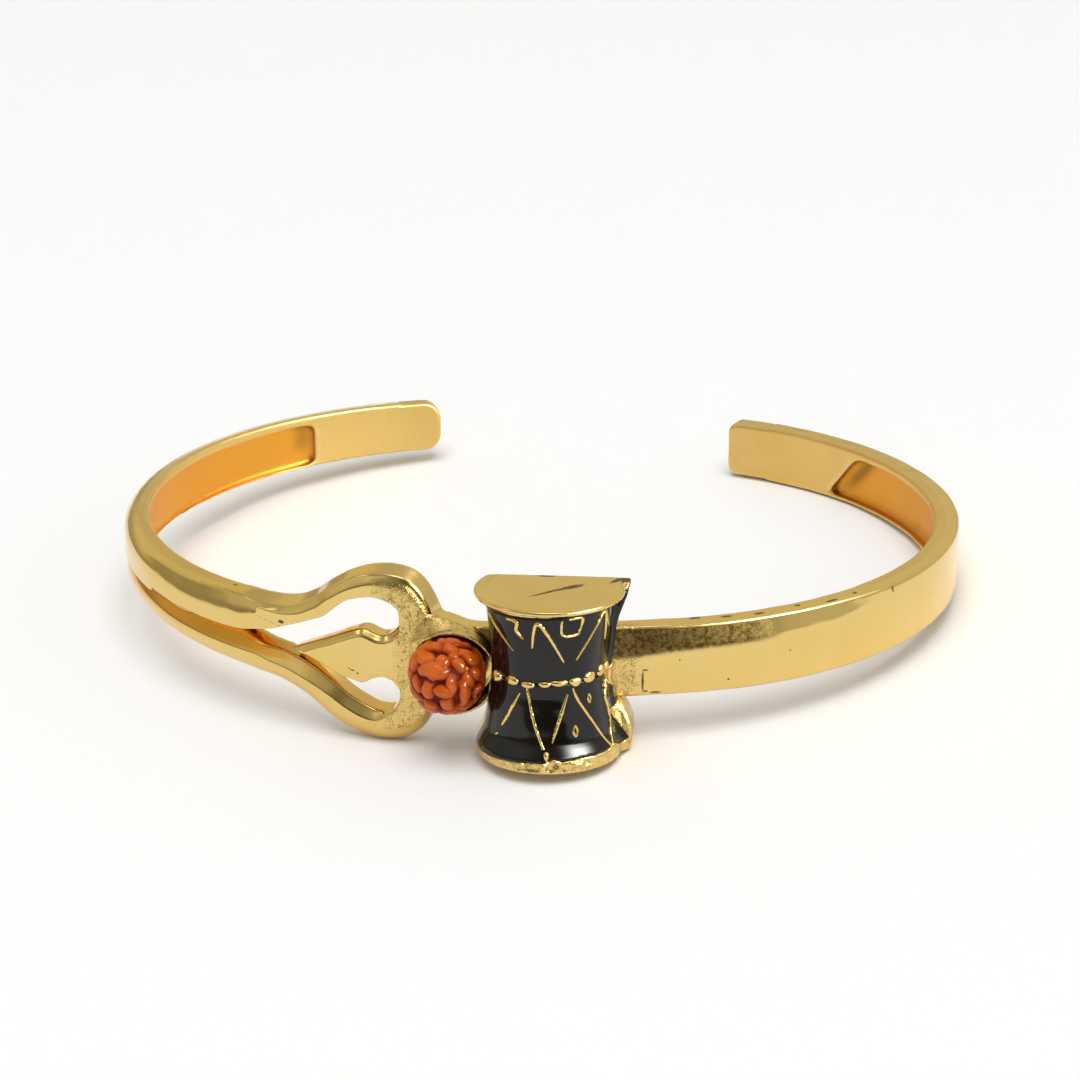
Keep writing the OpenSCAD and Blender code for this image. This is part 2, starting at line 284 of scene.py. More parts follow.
def pulled(f, p, eps=0.01, most=0.08):
    v = f(p[:, 0], p[:, 1], p[:, 2])
    g = np.empty_like(p)
    for k in range(3):
        q = p.copy()
        q[:, k] += eps
        g[:, k] = (f(q[:, 0], q[:, 1], q[:, 2]) - v) / eps
    step = (v / np.maximum((g * g).sum(1), 0.05))[:, None] * g
    size = np.linalg.norm(step, axis=1, keepdims=True)
    return p - step * np.minimum(1, most / np.maximum(size, 1e-9))


# The cast band with its rails, trident head and cup, in arc length, height and depth

TOP_EDGE = [
    [-96, 2.3], [-80, 2.45], [-65, 2.6], [-50, 2.75], [-38, 2.85], [-28, 2.98], [-24.9, 3.12], [-22.3, 3.2],
    [-20.6, 3.48], [-19, 4.2], [-17.5, 5.2], [-15.8, 6.2], [-14.6, 6.65], [-13.5, 6.9], [-12.1, 6.97],
    [-10.7, 6.7], [-9.7, 6.05], [-8.9, 4.9], [-8.3, 3.5], [-7.6, 1.2],
]
BOTTOM_EDGE = [
    [-96, -2.3], [-80, -2.4], [-60, -2.45], [-40, -2.5], [-36.8, -2.62], [-31.8, -2.8], [-28, -2.95],
    [-24, -3.2], [-21.5, -3.56], [-19.2, -4.47], [-17.2, -5.75], [-15.5, -6.5], [-13.6, -6.9],
    [-12.2, -6.9], [-10.9, -6.6], [-9.8, -5.8], [-9, -4.7], [-8.4, -3.4], [-7.6, -1.2],
]
UPPER_OPENING = [
    [-26, -0.05], [-24.4, 0.23], [-22.2, 0.79], [-21.1, 1.24], [-19.3, 1.91], [-17.5, 2.69], [-16.7, 3.39],
    [-15.8, 4.06], [-14.7, 4.5], [-13.6, 4.67], [-12.6, 4.56], [-11.8, 4.17], [-11.35, 3.5], [-11.3, 2.7],
]
LOWER_OPENING = [
    [-26, -1.15], [-23.3, -1.6], [-20.2, -2.07], [-17.3, -3.17], [-15.7, -4], [-14.1, -4.59],
    [-12.9, -4.66], [-12, -4.36], [-11.5, -3.6], [-11.4, -2.7],
]
BLADE_TOP = [
    [-20.6, -0.5], [-17.6, 0.78], [-15.3, 1.75], [-14.4, 1.99], [-13.9, 1.88], [-13, 1.6], [-12.2, 1.8],
    [-11.5, 2.5], [-10.6, 3.4],
]
BLADE_BOTTOM = [
    [-20.6, -0.5], [-18.8, -0.75], [-16.7, -1.65], [-15.5, -2], [-14.3, -2.2], [-13.5, -1.77],
    [-12.7, -1.62], [-12, -1.82], [-11.5, -2.4], [-10.6, -3.2],
]
FAR = 12.0


# The grid along the band: stretches from one arc length to the next, fine at the ends and round the head
STRETCHES = [
    [-LEN_LEFT - 0.5, -89, 0.165], [-89, -28, 0.47], [-28, -2.6, 0.124], [-2.6, 76, 0.47],
    [76, LEN_RIGHT + 0.5, 0.165],
]
band_us = np.concatenate([np.arange(*row) for row in STRETCHES])
fine_zs = np.arange(-8, 8, 0.06)


def half_plane(rows, far):
    """The distance to all that lies on one side of a traced edge: below it where far is negative."""
    c = curve(rows)
    left = c[0, 0] - FAR
    return Outline(np.vstack([c, [[c[-1, 0], far], [left, far], [left, c[0, 1]]]]), band_us, fine_zs)


under_top = half_plane(TOP_EDGE, -FAR)
under_upper = half_plane(UPPER_OPENING, -FAR)
under_blade = half_plane(BLADE_TOP, -FAR)
over_bottom = half_plane(BOTTOM_EDGE, FAR)
over_lower = half_plane(LOWER_OPENING, FAR)
over_blade = half_plane(BLADE_BOTTOM, FAR)

# How far the top leans in for each millimetre of depth, and the width in height and depth of its front bevel
top_lean = table([
    [-96, 0.12], [-60, 0.28], [-46, 0.45], [-40, 0.5], [-37, 0.4], [-31.7, 0.38], [-28.5, 0.24],
    [-25.8, 0.28], [-24.1, 0.4], [-21.5, 0.36], [-18.4, 0.31], [-16, 0.27], [-11.5, 0.29], [-10, 0.34],
    [-7, 0.36],
])
bevel_high = table([
    [-96, 0.4], [-60, 0.45], [-46, 0.55], [-40, 0.7], [-37, 1.15], [-34, 1.38], [-31.7, 1.52], [-28.5, 1.6],
    [-25.8, 1.35], [-24.6, 1.1], [-23.9, 0.85], [-21.5, 0.75], [-18.4, 0.74], [-16, 0.7], [-13.7, 0.7],
    [-12, 0.8], [-10.4, 0.78], [-9.3, 0.54], [-8.7, 0.35], [-7, 0.3],
])
# The head's own bevel, from the slanting edge at which its upper prong stands proud of the rail
HEAD_START, HEAD_PROUD = (-23.6, 1.67), 0.1
head_bevel_high = table([
    [-26, 0.1], [-23.6, 0.14], [-22.5, 0.32], [-21, 0.5], [-19.5, 0.68], [-18.4, 0.74], [-16, 0.7],
    [-13.7, 0.7], [-12, 0.8], [-10.4, 0.78], [-9.3, 0.54], [-8.7, 0.35], [-7, 0.3],
])
bevel_deep = table([
    [-96, 0.15], [-75, 0.35], [-60, 0.5], [-50, 0.58], [-40, 0.6], [-28, 0.62], [-24.5, 0.5], [-22, 0.38],
    [-20, 0.36], [-7, 0.34],
])
low_bevel_high = table([
    [-96, 0.8], [-50, 1.1], [-30, 1.35], [-22, 1.6], [-17, 1.75], [-14.5, 1.45], [-12.6, 1.4], [-10.4, 1.0],
    [-9.3, 0.6], [-7, 0.5],
])
low_bevel_deep = table([[-96, 0.15], [-60, 0.25], [-40, 0.4], [-26, 0.6], [-20, 0.8], [-7, 0.8]])
groove_top = table([
    [-96, -0.45], [-42, -0.45], [-36, -0.44], [-33.6, -0.5], [-31.2, -0.34], [-28.2, -0.15], [-25.5, 0.02],
    [-23.9, 0.27], [-20, 0.7],
])
ridge_z = table([
    [-96, -1.5], [-42, -1.6], [-36, -1.62], [-33, -1.72], [-28, -1.75], [-25, -1.75], [-22.4, -1.87],
    [-21, -2.07],
])
groove_deep = table([
    [-96, -0.4], [-84, -0.4], [-78, -0.1], [-72, 0.25], [-62, 0.5], [-52, 0.65], [-40, 0.7], [-33, 0.75],
    [-28.5, 0.95], [-25, 1.15], [-20, 1.3],
])
inner_slope = table([[-30, 1.0], [-20, 1.0], [-17, 0.75], [-14.5, 0.5], [-12.5, 0.25], [-7, 0.0]])
face_softness = table([[-96, 0.3], [-30, 0.32], [-25.2, 0.2], [-24.4, 0.1], [-20, 0.09], [-7, 0.09]])
shoulder_z = table([
    [0, 0.3], [6.7, 0.54], [9.7, 0.77], [12.8, 0.92], [16, 1.02], [19.4, 1.1], [23.2, 1.14], [26.3, 1.52],
    [30, 2.0], [35.8, 2.75], [40, 3.2], [96, 4],
])
SHOULDER_SLOPE = 0.26
top_cut = table([
    [-10, 0.1], [6, 0.12], [12, 0.2], [17, 0.3], [22, 0.42], [29, 0.38], [36, 0.25], [50, 0.16], [96, 0.14],
])
CUP_U, CUP_Z, CUP_R, CUP_BORE, CUP_RIM_W, CUP_BACK = -7.2, -0.45, 3.28, 3.06, 1.2, 1.8
BEAD_R, BEAD_U, BEAD_Z, BEAD_W = 3.0, -7.47, -0.4, 1.75
# The band's half height: at the front, what it loses towards the back, and over what stretch of the plan
FRONT_HALF, TAPER, TAPER_FROM, TAPER_LENGTH = 2.75, 0.4, -24, 56
END_R_RIGHT, END_R_LEFT = 1.0, 1.8
# The channel inside: its floor's depth, the rim beside it, where it begins and ends, its right end's lean
CHANNEL_FLOOR, CHANNEL_RIM = 1.25, 0.5
CHANNEL_FRONT_RIGHT, CHANNEL_FRONT_LEFT = 12, 27
CHANNEL_END_RIGHT, CHANNEL_END_LEAN = 68.4, 0.93
PAD_LENGTH = 12.8
PRONG_BEVEL = 0.54
BACK_ROUND = 0.3
AWAY = 9.0


def waviness(u, z, amount=0.012):
    """The slight unevenness of a hand-polished casting."""
    return amount * (np.sin(0.9 * u + 1.3 * z + 0.5) * np.sin(0.37 * u - 0.8 * z)
                     + 0.5 * np.sin(2.3 * u + 0.7 * z + 2.0) * np.sin(1.9 * z + 0.31 * u))


def half_height(u):
    y = place(u, 0.0, 0.0)[..., 1]
    return FRONT_HALF - TAPER * np.clip((y - TAPER_FROM) / TAPER_LENGTH, 0, 1)


def plain_band(u, z, w):
    h = half_height(u)
    shoulder = (w + SHOULDER_SLOPE * (z - shoulder_z(u))) / math.hypot(1, SHOULDER_SLOPE)
    top = z - h + 0.04 * (w + BAND_T)
    chamfer = 0.616 * w + 0.788 * (z - h) + 0.616 * top_cut(u)
    f = soft_max(w + 0.0 * z, shoulder, 0.1)
    f = soft_max(f, top, 0.12)
    f = soft_max(f, chamfer, 0.12)
    f = soft_max(f, -z - h, 0.45)
    return soft_max(f, -w - BAND_T, BACK_ROUND)


def rails_and_head(u, z, w):
    d_top = -under_top(u, z)
    d_low = -over_bottom(u, z)
    lean = top_lean(u)
    bh, bd = bevel_high(u), bevel_deep(u)
    top = (lean * (w + BAND_T) - d_top) / np.hypot(1, lean)
    step = d_top - lean * (BAND_T - bd)
    bevel = (w + bd - step * bd / bh) / np.hypot(1, bd / bh)
    head_bh = head_bevel_high(u)
    head_bevel = (w + bd - step * bd / head_bh) / np.hypot(1, bd / head_bh)
    behind = np.maximum(HEAD_START[0] - u, (HEAD_START[0] - u) * 0.19 + (HEAD_START[1] - z) * 0.98)
    behind = np.where(z < 0.3, AWAY, behind)
    lh, ld = low_bevel_high(u), low_bevel_deep(u)
    low_bevel = (w + ld - d_low * ld / lh) / np.hypot(1, ld / lh)
    bottom = -d_low - 0.12 * (w + ld)
    rail_front = soft_max(w + HEAD_PROUD * soft_step(-behind, -2.5, 0.0), bevel, face_softness(u))
    head_front = soft_max(w + 0.0 * z, head_bevel, 0.09)
    f = np.minimum(rail_front, soft_max(head_front, behind, 0.05))
    f = soft_max(f, top, 0.09)
    f = soft_max(f, low_bevel, 0.3)
    f = soft_max(f, bottom, 0.4)
    f = soft_max(f, -w - BAND_T, BACK_ROUND)
    # The opening between the prongs: its lower wall slopes up towards the back
    slope = inner_slope(u)
    rise = np.where(w > -0.6, -w * 1.25, 0.75 + (-w - 0.6) * 0.25) * slope
    rise = np.where(w > 0, 0.0, rise)
    opening = soft_max(under_upper(u, z), over_lower(u, z - rise) * 0.8, 0.1)
    f = soft_max(f, -opening, 0.12)
    # A bevel along the lower prong's upper front edge
    edge = over_lower(u, z)
    lift = 0.4 * soft_step(-u, 21.5, 25.0) + 0.5 * soft_step(u, -13.6, -11.6)
    prong_bevel = (w + 0.35 - lift - PRONG_BEVEL * edge) / math.hypot(1, PRONG_BEVEL)
    prong_bevel = np.where((z < -0.8) & (u > -25.5), prong_bevel, -AWAY)
    f = soft_max(f, prong_bevel, 0.07)
    # The groove between the rails
    deep = groove_deep(u)
    zu, zr = groove_top(u), ridge_z(u)
    roof = z - zu - 0.14 * w
    wall = (zr + (zu - 0.1 - zr) * (-w / np.maximum(deep, 0.05)) - z) * 0.6
    groove = soft_max(soft_max(roof, wall, 0.1), -(w + deep), 0.1)
    groove = np.maximum(groove, np.maximum(-82 - u, u + 22))
    return soft_max(f, -groove, 0.26)


def blade(u, z, w):
    d_top = -under_blade(u, z)
    f = soft_max(-d_top, over_blade(u, z), 0.1)
    f = soft_max(f, (w + 0.5 - d_top) * 0.707, 0.1)
    f = soft_max(f, w + 0.03, 0.1)
    return soft_max(f, -w - BAND_T, BACK_ROUND)


def channel(u, z, w):
    """The shallow channel in the inner face, from the front to a solid pad at each end."""
    half = half_height(u) - CHANNEL_RIM
    right_end = CHANNEL_END_RIGHT - CHANNEL_END_LEAN * z
    span = np.maximum(u - right_end, CHANNEL_FRONT_RIGHT - u)
    span = np.minimum(span, np.maximum(u + CHANNEL_FRONT_LEFT, PAD_LENGTH - LEN_LEFT - u))
    trough = soft_max((np.abs(z + 0.2) - half) * 0.7, w + CHANNEL_FLOOR, 0.35)
    return soft_max(trough, 0.3 * span, 0.5)


def rounded_ends(u, z):
    h = half_height(u)
    f = np.full(np.broadcast(u, z).shape, -AWAY)
    for inner, r in ((LEN_RIGHT - u, END_R_RIGHT), (LEN_LEFT + u, END_R_LEFT)):
        a, b = np.maximum(r - inner, 0), np.maximum(r - (h - np.abs(z)), 0)
        corner = np.where((a > 0) & (b > 0), np.hypot(a, b), np.maximum(a, b)) - r
        f = np.maximum(f, np.where(inner < 4, np.maximum(corner, -inner), -AWAY))
    return f


def cuff(u, z, w):
    left = rails_and_head(u, z, w)
    left = np.minimum(left, np.where(np.abs(u + 15) < 7, blade(u, z, w), AWAY))
    plain = plain_band(u, z, w)
    f = np.where(u < -8.6, left, soft_min(left, plain, 0.3))
    f = np.where(u > -6.5, plain, f)
    f = soft_max(f, rounded_ends(u, z), 0.35)
    f = soft_max(f, -channel(u, z, w), 0.15)
    r = np.hypot(u - CUP_U, z - CUP_Z)
    round_cup = np.degrees(np.arctan2(z - CUP_Z, u - CUP_U))
    from_left = 180 - np.abs(round_cup)
    rim_w = CUP_RIM_W - (1 - soft_step(from_left, 20, 70))
    collar = 0.95 * np.exp(-((round_cup - 125) / 32) ** 2) * np.clip((0.75 - w) / 0.75, 0, 1.2)
    wall = soft_max(r - CUP_R - collar, w - rim_w, 0.08)
    wall = np.maximum(wall, -w - CUP_BACK)
    f = soft_min(f, wall, 0.22)
    bore = np.maximum(r - CUP_BORE, -(w - (BEAD_W - BEAD_R - 0.1)))
    return soft_max(f, -bore, 0.06) + waviness(u, z) * (0.35 + 0.65 * soft_step(u, -32, -24))


def mesh_piece(name, points, faces, material):
    """A shown piece from points in metres."""
    mesh = bpy.data.meshes.new(name)
    mesh.from_pydata([tuple(p) for p in points], [], [tuple(int(i) for i in q) for q in faces])
    mesh.polygons.foreach_set("use_smooth", [True] * len(mesh.polygons))
    mesh.materials.append(material)
    mesh.update()
    obj = bpy.data.objects.new(name, mesh)
    bpy.context.scene.collection.objects.link(obj)
    return obj


def give(obj, name, values):
    """Stores a value for each point of a piece, for its material to read."""
    a = obj.data.attributes.new(name, "FLOAT", "POINT")
    a.data.foreach_set("value", np.asarray(values, np.float32))


def stand_in(obj, node):
    """Puts a shown piece on the root body in place of the CAD node, which it hides."""
    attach(obj, "root")
    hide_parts(node)


def lattice_noise(seed_number, n=32):
    """A smooth random function of space with values between -1 and 1 and features one unit across."""
    cell = np.random.default_rng(seed_number).uniform(-1, 1, (n, n, n))

    def value(x, y, z):
        x, y, z = np.broadcast_arrays(x, y, z)
        out = 0.0
        i, j, k = np.floor(x).astype(int), np.floor(y).astype(int), np.floor(z).astype(int)
        a, b, c = x - i, y - j, z - k
        a, b, c = (t * t * (3 - 2 * t) for t in (a, b, c))
        for di in (0, 1):
            for dj in (0, 1):
                for dk in (0, 1):
                    weight = np.abs(1 - di - a) * np.abs(1 - dj - b) * np.abs(1 - dk - c)
                    out = out + weight * cell[(i + di) % n, (j + dj) % n, (k + dk) % n]
        return out
    return value


rough_cast = lattice_noise(7)


# Materials. Net keeps the making of a node tree short.

class Net:
    def __init__(self, tree):
        self.tree = tree

    def add(self, kind, **settings):
        made = self.tree.nodes.new(kind)
        for key, value in settings.items():
            setattr(made, key, value)
        return made

    def feed(self, socket, value):
        if isinstance(value, bpy.types.NodeSocket):
            self.tree.links.new(value, socket)
        elif value is not None:
            socket.default_value = value

    def fed(self, made, values):
        """A node's outputs, once its inputs have the values given by name or number."""
        for key, value in values.items():
            self.feed(made.inputs[key], value)
        return made.outputs

    def math(self, operation, *values, clamp=False):
        made = self.add("ShaderNodeMath", operation=operation, use_clamp=clamp)
        return self.fed(made, dict(enumerate(values)))[0]

    def times(self, a, b):
        return self.math("MULTIPLY", a, b)

    def plus(self, a, b, clamp=False):
        return self.math("ADD", a, b, clamp=clamp)

    def vector(self, operation, a, b=None):
        return self.fed(self.add("ShaderNodeVectorMath", operation=operation), {0: a, 1: b})

    def ramp(self, value, lo, hi, out_lo=0.0, out_hi=1.0):
        made = self.add("ShaderNodeMapRange", interpolation_type="SMOOTHSTEP")
        ends = {"Value": value, "From Min": lo, "From Max": hi, "To Min": out_lo, "To Max": out_hi}
        return self.fed(made, ends)[0]

    def blend(self, share, a, b):
        a, b = ((*v, 1.0) if isinstance(v, tuple) else v for v in (a, b))
        return self.fed(self.add("ShaderNodeMix", data_type="RGBA"), {0: share, 6: a, 7: b})[2]

    def noise(self, coords, scale, detail=2.0, rough=0.5):
        grain = {"Vector": coords, "Scale": scale, "Detail": detail, "Roughness": rough}
        return self.fed(self.add("ShaderNodeTexNoise"), grain)["Fac"]

    def stored(self, name):
        return self.add("ShaderNodeAttribute", attribute_name=name).outputs["Fac"]

    def place(self):
        return self.add("ShaderNodeTexCoord").outputs["Object"]

    def bump(self, height, depth, under=None):
        relief = {"Height": height, "Distance": depth, "Normal": under}
        return self.fed(self.add("ShaderNodeBump"), relief)["Normal"]

    def group(self, tree, **values):
        named = {name.replace("_", " "): value for name, value in values.items()}
        return self.fed(self.add("ShaderNodeGroup", node_tree=tree), named)


def effect(name, inputs, outputs):
    """A shader node group with named inputs and outputs."""
    tree = bpy.data.node_groups.new(name, "ShaderNodeTree")
    for label, kind, value in inputs:
        socket = tree.interface.new_socket(label, in_out="INPUT", socket_type="NodeSocket" + kind)
        socket.default_value = value
    for label, kind in outputs:
        tree.interface.new_socket(label, in_out="OUTPUT", socket_type="NodeSocket" + kind)
    net = Net(tree)
    return tree, net, net.add("NodeGroupInput").outputs, net.add("NodeGroupOutput").inputs


def make_cast_grain():
    """The sandy skin that the mould leaves: fine pits and grains, and the grime that stays in them."""
    tree, net, given, made = effect(
        "cast_grain",
        [("Amount", "Float", 1.0), ("Grain size", "Float", 0.00016), ("Dirt", "Float", 0.5)],
        [("Height", "Float"), ("Dirt mask", "Float")])
    here = net.place()
    scale = net.math("DIVIDE", 1.0, given["Grain size"])
    fine = net.noise(here, scale, 3.0, 0.6)
    coarse = net.noise(here, net.times(scale, 0.33))
    both = net.plus(net.times(fine, 0.6), net.times(coarse, 0.4))
    net.feed(made["Height"], net.times(both, given["Amount"]))
    pits = net.times(net.ramp(both, 0.51, 0.39), given["Amount"])
    net.feed(made["Dirt mask"], net.times(pits, given["Dirt"]))
    return tree


def make_handling_marks():
    """Fine hairline scratches and a slow change of polish from handling."""
    tree, net, given, made = effect(
        "handling_marks",
        [("Hairlines", "Float", 0.3), ("Cloudiness", "Float", 0.5)],
        [("Height", "Float"), ("Polish", "Float")])
    here = net.place()
    drawn_out = {"Vector": here, "Rotation": (0.3, 0.5, 0.9), "Scale": (1.0, 14.0, 9.0)}
    streaks = net.fed(net.add("ShaderNodeMapping"), drawn_out)[0]
    lines = net.ramp(net.noise(streaks, 900.0, 2.0, 0.7), 0.62, 0.72)
    net.feed(made["Height"], net.times(lines, net.times(given["Hairlines"], -1.0)))
    cloud = net.ramp(net.noise(here, 420.0, 3.0, 0.6), 0.4, 0.65)
    net.feed(made["Polish"], net.times(cloud, given["Cloudiness"]))
    return tree


def make_surface_mark():
    """One dark nick or scratch: 1 inside a long flat ellipsoid round its centre, 0 outside."""
    tree, net, given, made = effect(
        "surface_mark",
        [("Centre", "Vector", (0, 0, 0)), ("Along", "Vector", (1, 0, 0)), ("Half length", "Float", 0.0004),
         ("Half width", "Float", 0.00008)],
        [("Mark", "Float")])
    here = net.place()
    away = net.vector("SUBTRACT", here, given["Centre"])[0]
    along = net.vector("DOT_PRODUCT", away, given["Along"])["Value"]
    far = net.vector("LENGTH", away)["Value"]
    side2 = net.math("SUBTRACT", net.times(far, far), net.times(along, along))
    side = net.math("SQRT", net.math("MAXIMUM", side2, 0.0))
    a = net.math("DIVIDE", along, given["Half length"])
    b = net.math("DIVIDE", side, given["Half width"])
    both = net.math("SQRT", net.plus(net.times(a, a), net.times(b, b)))
    uneven = net.plus(both, net.times(net.noise(here, 9000.0), 1.2))
    net.feed(made["Mark"], net.ramp(uneven, 1.75, 1.35))
    return tree


cast_grain = make_cast_grain()
handling_marks = make_handling_marks()
surface_mark = make_surface_mark()


def new_material(name):
    m = bpy.data.materials.new(name)
    m.use_nodes = True
    return m, Net(m.node_tree), m.node_tree.nodes["Principled BSDF"].inputs


# Dark nicks on the band as [u, height, depth, half length, half width], in millimetres along the band
BAND_NICKS = [
    [-21.2, 1.6, 0.0, 0.26, 0.15], [-23.6, -2.03, 0.0, 0.14, 0.08], [-22.2, -2.55, 0.0, 0.12, 0.08],
    [-15.1, -1.3, 0.0, 0.2, 0.07], [-14.7, -1.5, 0.0, 0.12, 0.07], [-15.4, -1.2, 0.0, 0.1, 0.06],
    [7.85, -2.42, 0.0, 0.42, 0.09], [13.5, -1.8, 0.0, 0.1, 0.08], [18.6, -0.2, 0.0, 0.1, 0.07],
    [9.7, 0.06, 0.0, 0.07, 0.07], [29.2, 2.3, -0.1, 0.12, 0.26], [6.9, -1.5, 0.0, 0.09, 0.9],
    [7.1, -0.6, 0.0, 0.25, 0.07], [7.1, -2.3, 0.0, 0.2, 0.07], [11.2, 2.7, -1.55, 0.45, 0.17],
    [13.7, 2.7, -1.3, 0.5, 0.17], [16.4, 2.68, -1.1, 0.45, 0.17], [23.0, 2.66, -0.8, 0.6, 0.16],
    [25.6, 2.64, -0.95, 0.25, 0.17], [20.0, 2.68, -1.3, 0.3, 0.14], [-29.5, 2.98, -1.3, 0.25, 0.17],
    [-27.2, 3.0, -1.4, 0.3, 0.17], [-24.6, 3.2, -0.6, 0.3, 0.17],
]


GOLD_YELLOW, GOLD_WARM = (0.78, 0.565, 0.2), (0.775, 0.545, 0.18)
# The dark gold stands for grime in the pits and nicks and also for painted shade in the creases and a painted
# dark reflection on the shoulder; the deeper orange is a painted interreflection for the hollows.
GOLD_PAINTED_INTERREFLECTION, GOLD_RUBBED, GOLD_DIRT_AND_SHADE = (0.77, 0.36, 0.045), (0.86, 0.68, 0.34), (0.075, 0.04, 0.008)
ENAMEL_BLACK, ENAMEL_BROWN, ENAMEL_SPECK = (0.004, 0.0038, 0.0036), (0.011, 0.0075, 0.005), (0.12, 0.07, 0.02)
SEED_CREVICE_SHADE, SEED_BODY, SEED_CREST = (0.15, 0.008, 0.002), (0.6, 0.1, 0.003), (0.64, 0.125, 0.005)
SEED_MOUTH, SEED_VEIN = (0.5, 0.16, 0.14), (0.4, 0.05, 0.004)
# Relief in metres: the cast grain and the scuffs on gold, the enamel's waves, the seed's pores
GRAIN_RELIEF, SCUFF_RELIEF, WAVE_RELIEF, PORE_RELIEF = 0.00007, 0.000012, 0.00012, 0.00006


def gold_material(name, marks):
    """Gold-coloured plated brass: polished faces, sandy cast zones with grime in their pits, dark nicks,
    painted shade in the creases, a painted dark reflection on the shoulder, a painted orange interreflection
    in the hollows, rubbed edges.
    """
    m, net, p = new_material(name)
    here = net.place()
    grain, scuffed_and_painted_dark = net.stored("grain"), net.stored("scuffed_and_painted_dark")
    cast = net.group(cast_grain, Amount=grain, Grain_size=0.00013, Dirt=0.55)
    worn = net.group(handling_marks, Hairlines=0.25, Cloudiness=0.5)
    scuffs = net.noise(here, 2600.0, 4.0, 0.75)
    # The scuffed shoulder's colour is darkened: a painted dark reflection of the room's dark side.
    painted_dark_reflection = net.times(scuffed_and_painted_dark, net.ramp(scuffs, 0.35, 0.6, 0.55, 1.0))
    # The darkening combines grime in the cast pits with painted shade in the creases and at the channel ends.
    dirt_and_shade = net.math("MAXIMUM", cast["Dirt mask"], net.times(net.stored("painted_crease_shade"), 0.8))
    dirt_and_shade = net.math("MAXIMUM", dirt_and_shade, painted_dark_reflection)
    for centre, along, half_length, half_width in marks:
        sizes = {"Half_length": half_length, "Half_width": half_width}
        mark = net.group(surface_mark, Centre=centre, Along=along, **sizes)
        dirt_and_shade = net.math("MAXIMUM", dirt_and_shade, net.times(mark["Mark"], 0.9))
    tone = net.ramp(net.noise(here, 260.0), 0.35, 0.65)
    # Hollows, prong walls and the channel take a deeper orange: painted interreflection of gold in gold.
    tone_and_painted_bounce = net.blend(net.stored("deep"), net.blend(tone, GOLD_YELLOW, GOLD_WARM), GOLD_PAINTED_INTERREFLECTION)
    bright = net.blend(net.times(net.stored("rub"), 0.6), tone_and_painted_bounce, GOLD_RUBBED)
    net.feed(p["Base Color"], net.blend(dirt_and_shade, bright, GOLD_DIRT_AND_SHADE))
    p["Metallic"].default_value = 1.0
    rough = net.plus(net.times(worn["Polish"], 0.08), 0.09)
    rough = net.plus(rough, net.times(grain, 0.08))
    rough = net.plus(rough, net.times(net.stored("matte"), 0.3))
    net.feed(p["Roughness"], net.plus(rough, net.times(dirt_and_shade, 0.3), clamp=True))
    fine = net.bump(net.plus(cast["Height"], net.times(worn["Height"], 0.04)), GRAIN_RELIEF)
    net.feed(p["Normal"], net.bump(net.times(scuffs, scuffed_and_painted_dark), SCUFF_RELIEF, under=fine))
    return m


def enamel_material(name):
    """Black-brown vitreous enamel, glossy, with faint specks under the surface and a wavy top."""
    m, net, p = new_material(name)
    here = net.place()
    specks = net.ramp(net.noise(here, 3800.0), 0.74, 0.8)
    deep = net.blend(net.ramp(net.noise(here, 240.0), 0.4, 0.7), ENAMEL_BLACK, ENAMEL_BROWN)
    net.feed(p["Base Color"], net.blend(net.times(specks, 0.35), deep, ENAMEL_SPECK))
    p["Metallic"].default_value = 0.0
    worn = net.group(handling_marks, Hairlines=0.2, Cloudiness=0.6)
    net.feed(p["Roughness"], net.plus(net.times(worn["Polish"], 0.06), 0.05))
    p["IOR"].default_value = 1.42
    waves = net.plus(net.noise(here, 330.0, 1.0), net.times(worn["Height"], 0.02))
    net.feed(p["Normal"], net.bump(waves, WAVE_RELIEF))
    return m


def seed_material(name):
    """Burnt-orange lacquered seed: darker red in the crevices as painted shade, lighter on the crests."""
    m, net, p = new_material(name)
    crest = net.stored("crest")
    vein = net.noise(net.place(), 1500.0, 3.0, 0.6)
    # Darker red in the crevices: painted shade.
    body = net.blend(net.ramp(crest, 0.35, 0.88), SEED_CREVICE_SHADE, SEED_BODY)
    body = net.blend(net.times(net.ramp(crest, 0.7, 1.0), net.ramp(vein, 0.35, 0.7)), body, SEED_CREST)
    body = net.blend(net.times(net.stored("mouth"), 0.7), body, SEED_MOUTH)
    net.feed(p["Base Color"], net.blend(net.times(net.ramp(vein, 0.7, 0.4), 0.25), body, SEED_VEIN))
    p["Metallic"].default_value = 0.0
    net.feed(p["Roughness"], net.ramp(crest, 0.0, 1.0, 0.42, 0.16))
    p["Specular IOR Level"].default_value = 0.2
    net.feed(p["Coat Weight"], net.ramp(crest, 0.4, 0.9, 0.0, 0.4))
    p["Coat Roughness"].default_value = 0.08
    pores = net.group(cast_grain, Amount=0.25, Grain_size=0.00022, Dirt=0.0)
    net.feed(p["Normal"], net.bump(pores["Height"], PORE_RELIEF))
    return m


# The drum stands about its own axis with its front towards -y, in millimetres
DRUM_H = 12.7
DRUM_BACK = 2.85
LIP_T = 0.4
DRUM_TURN = turn_about("Z", DRUM_YAW) @ turn_about("X", DRUM_LEAN)
DRUM_AT = np.array([-0.1, FRONT_LOW - DRUM_W, DRUM_Z])


def on_drum(p):
    """Points about the drum's axis, put in the pose, in metres."""
    return rested(np.asarray(p, float) @ DRUM_TURN.T + DRUM_AT) * MM


def mark_of(centre, start, end, half_length, half_width):
    """A mark's centre, its direction and its half sizes in metres."""
    along = (end - start) / np.linalg.norm(end - start)
    return tuple(centre), tuple(along), half_length * MM, half_width * MM


def band_mark(u, z, w, *half_sizes):
    return mark_of(spot(u, z, w), spot(u - 0.1, z, w), spot(u + 0.1, z, w), *half_sizes)


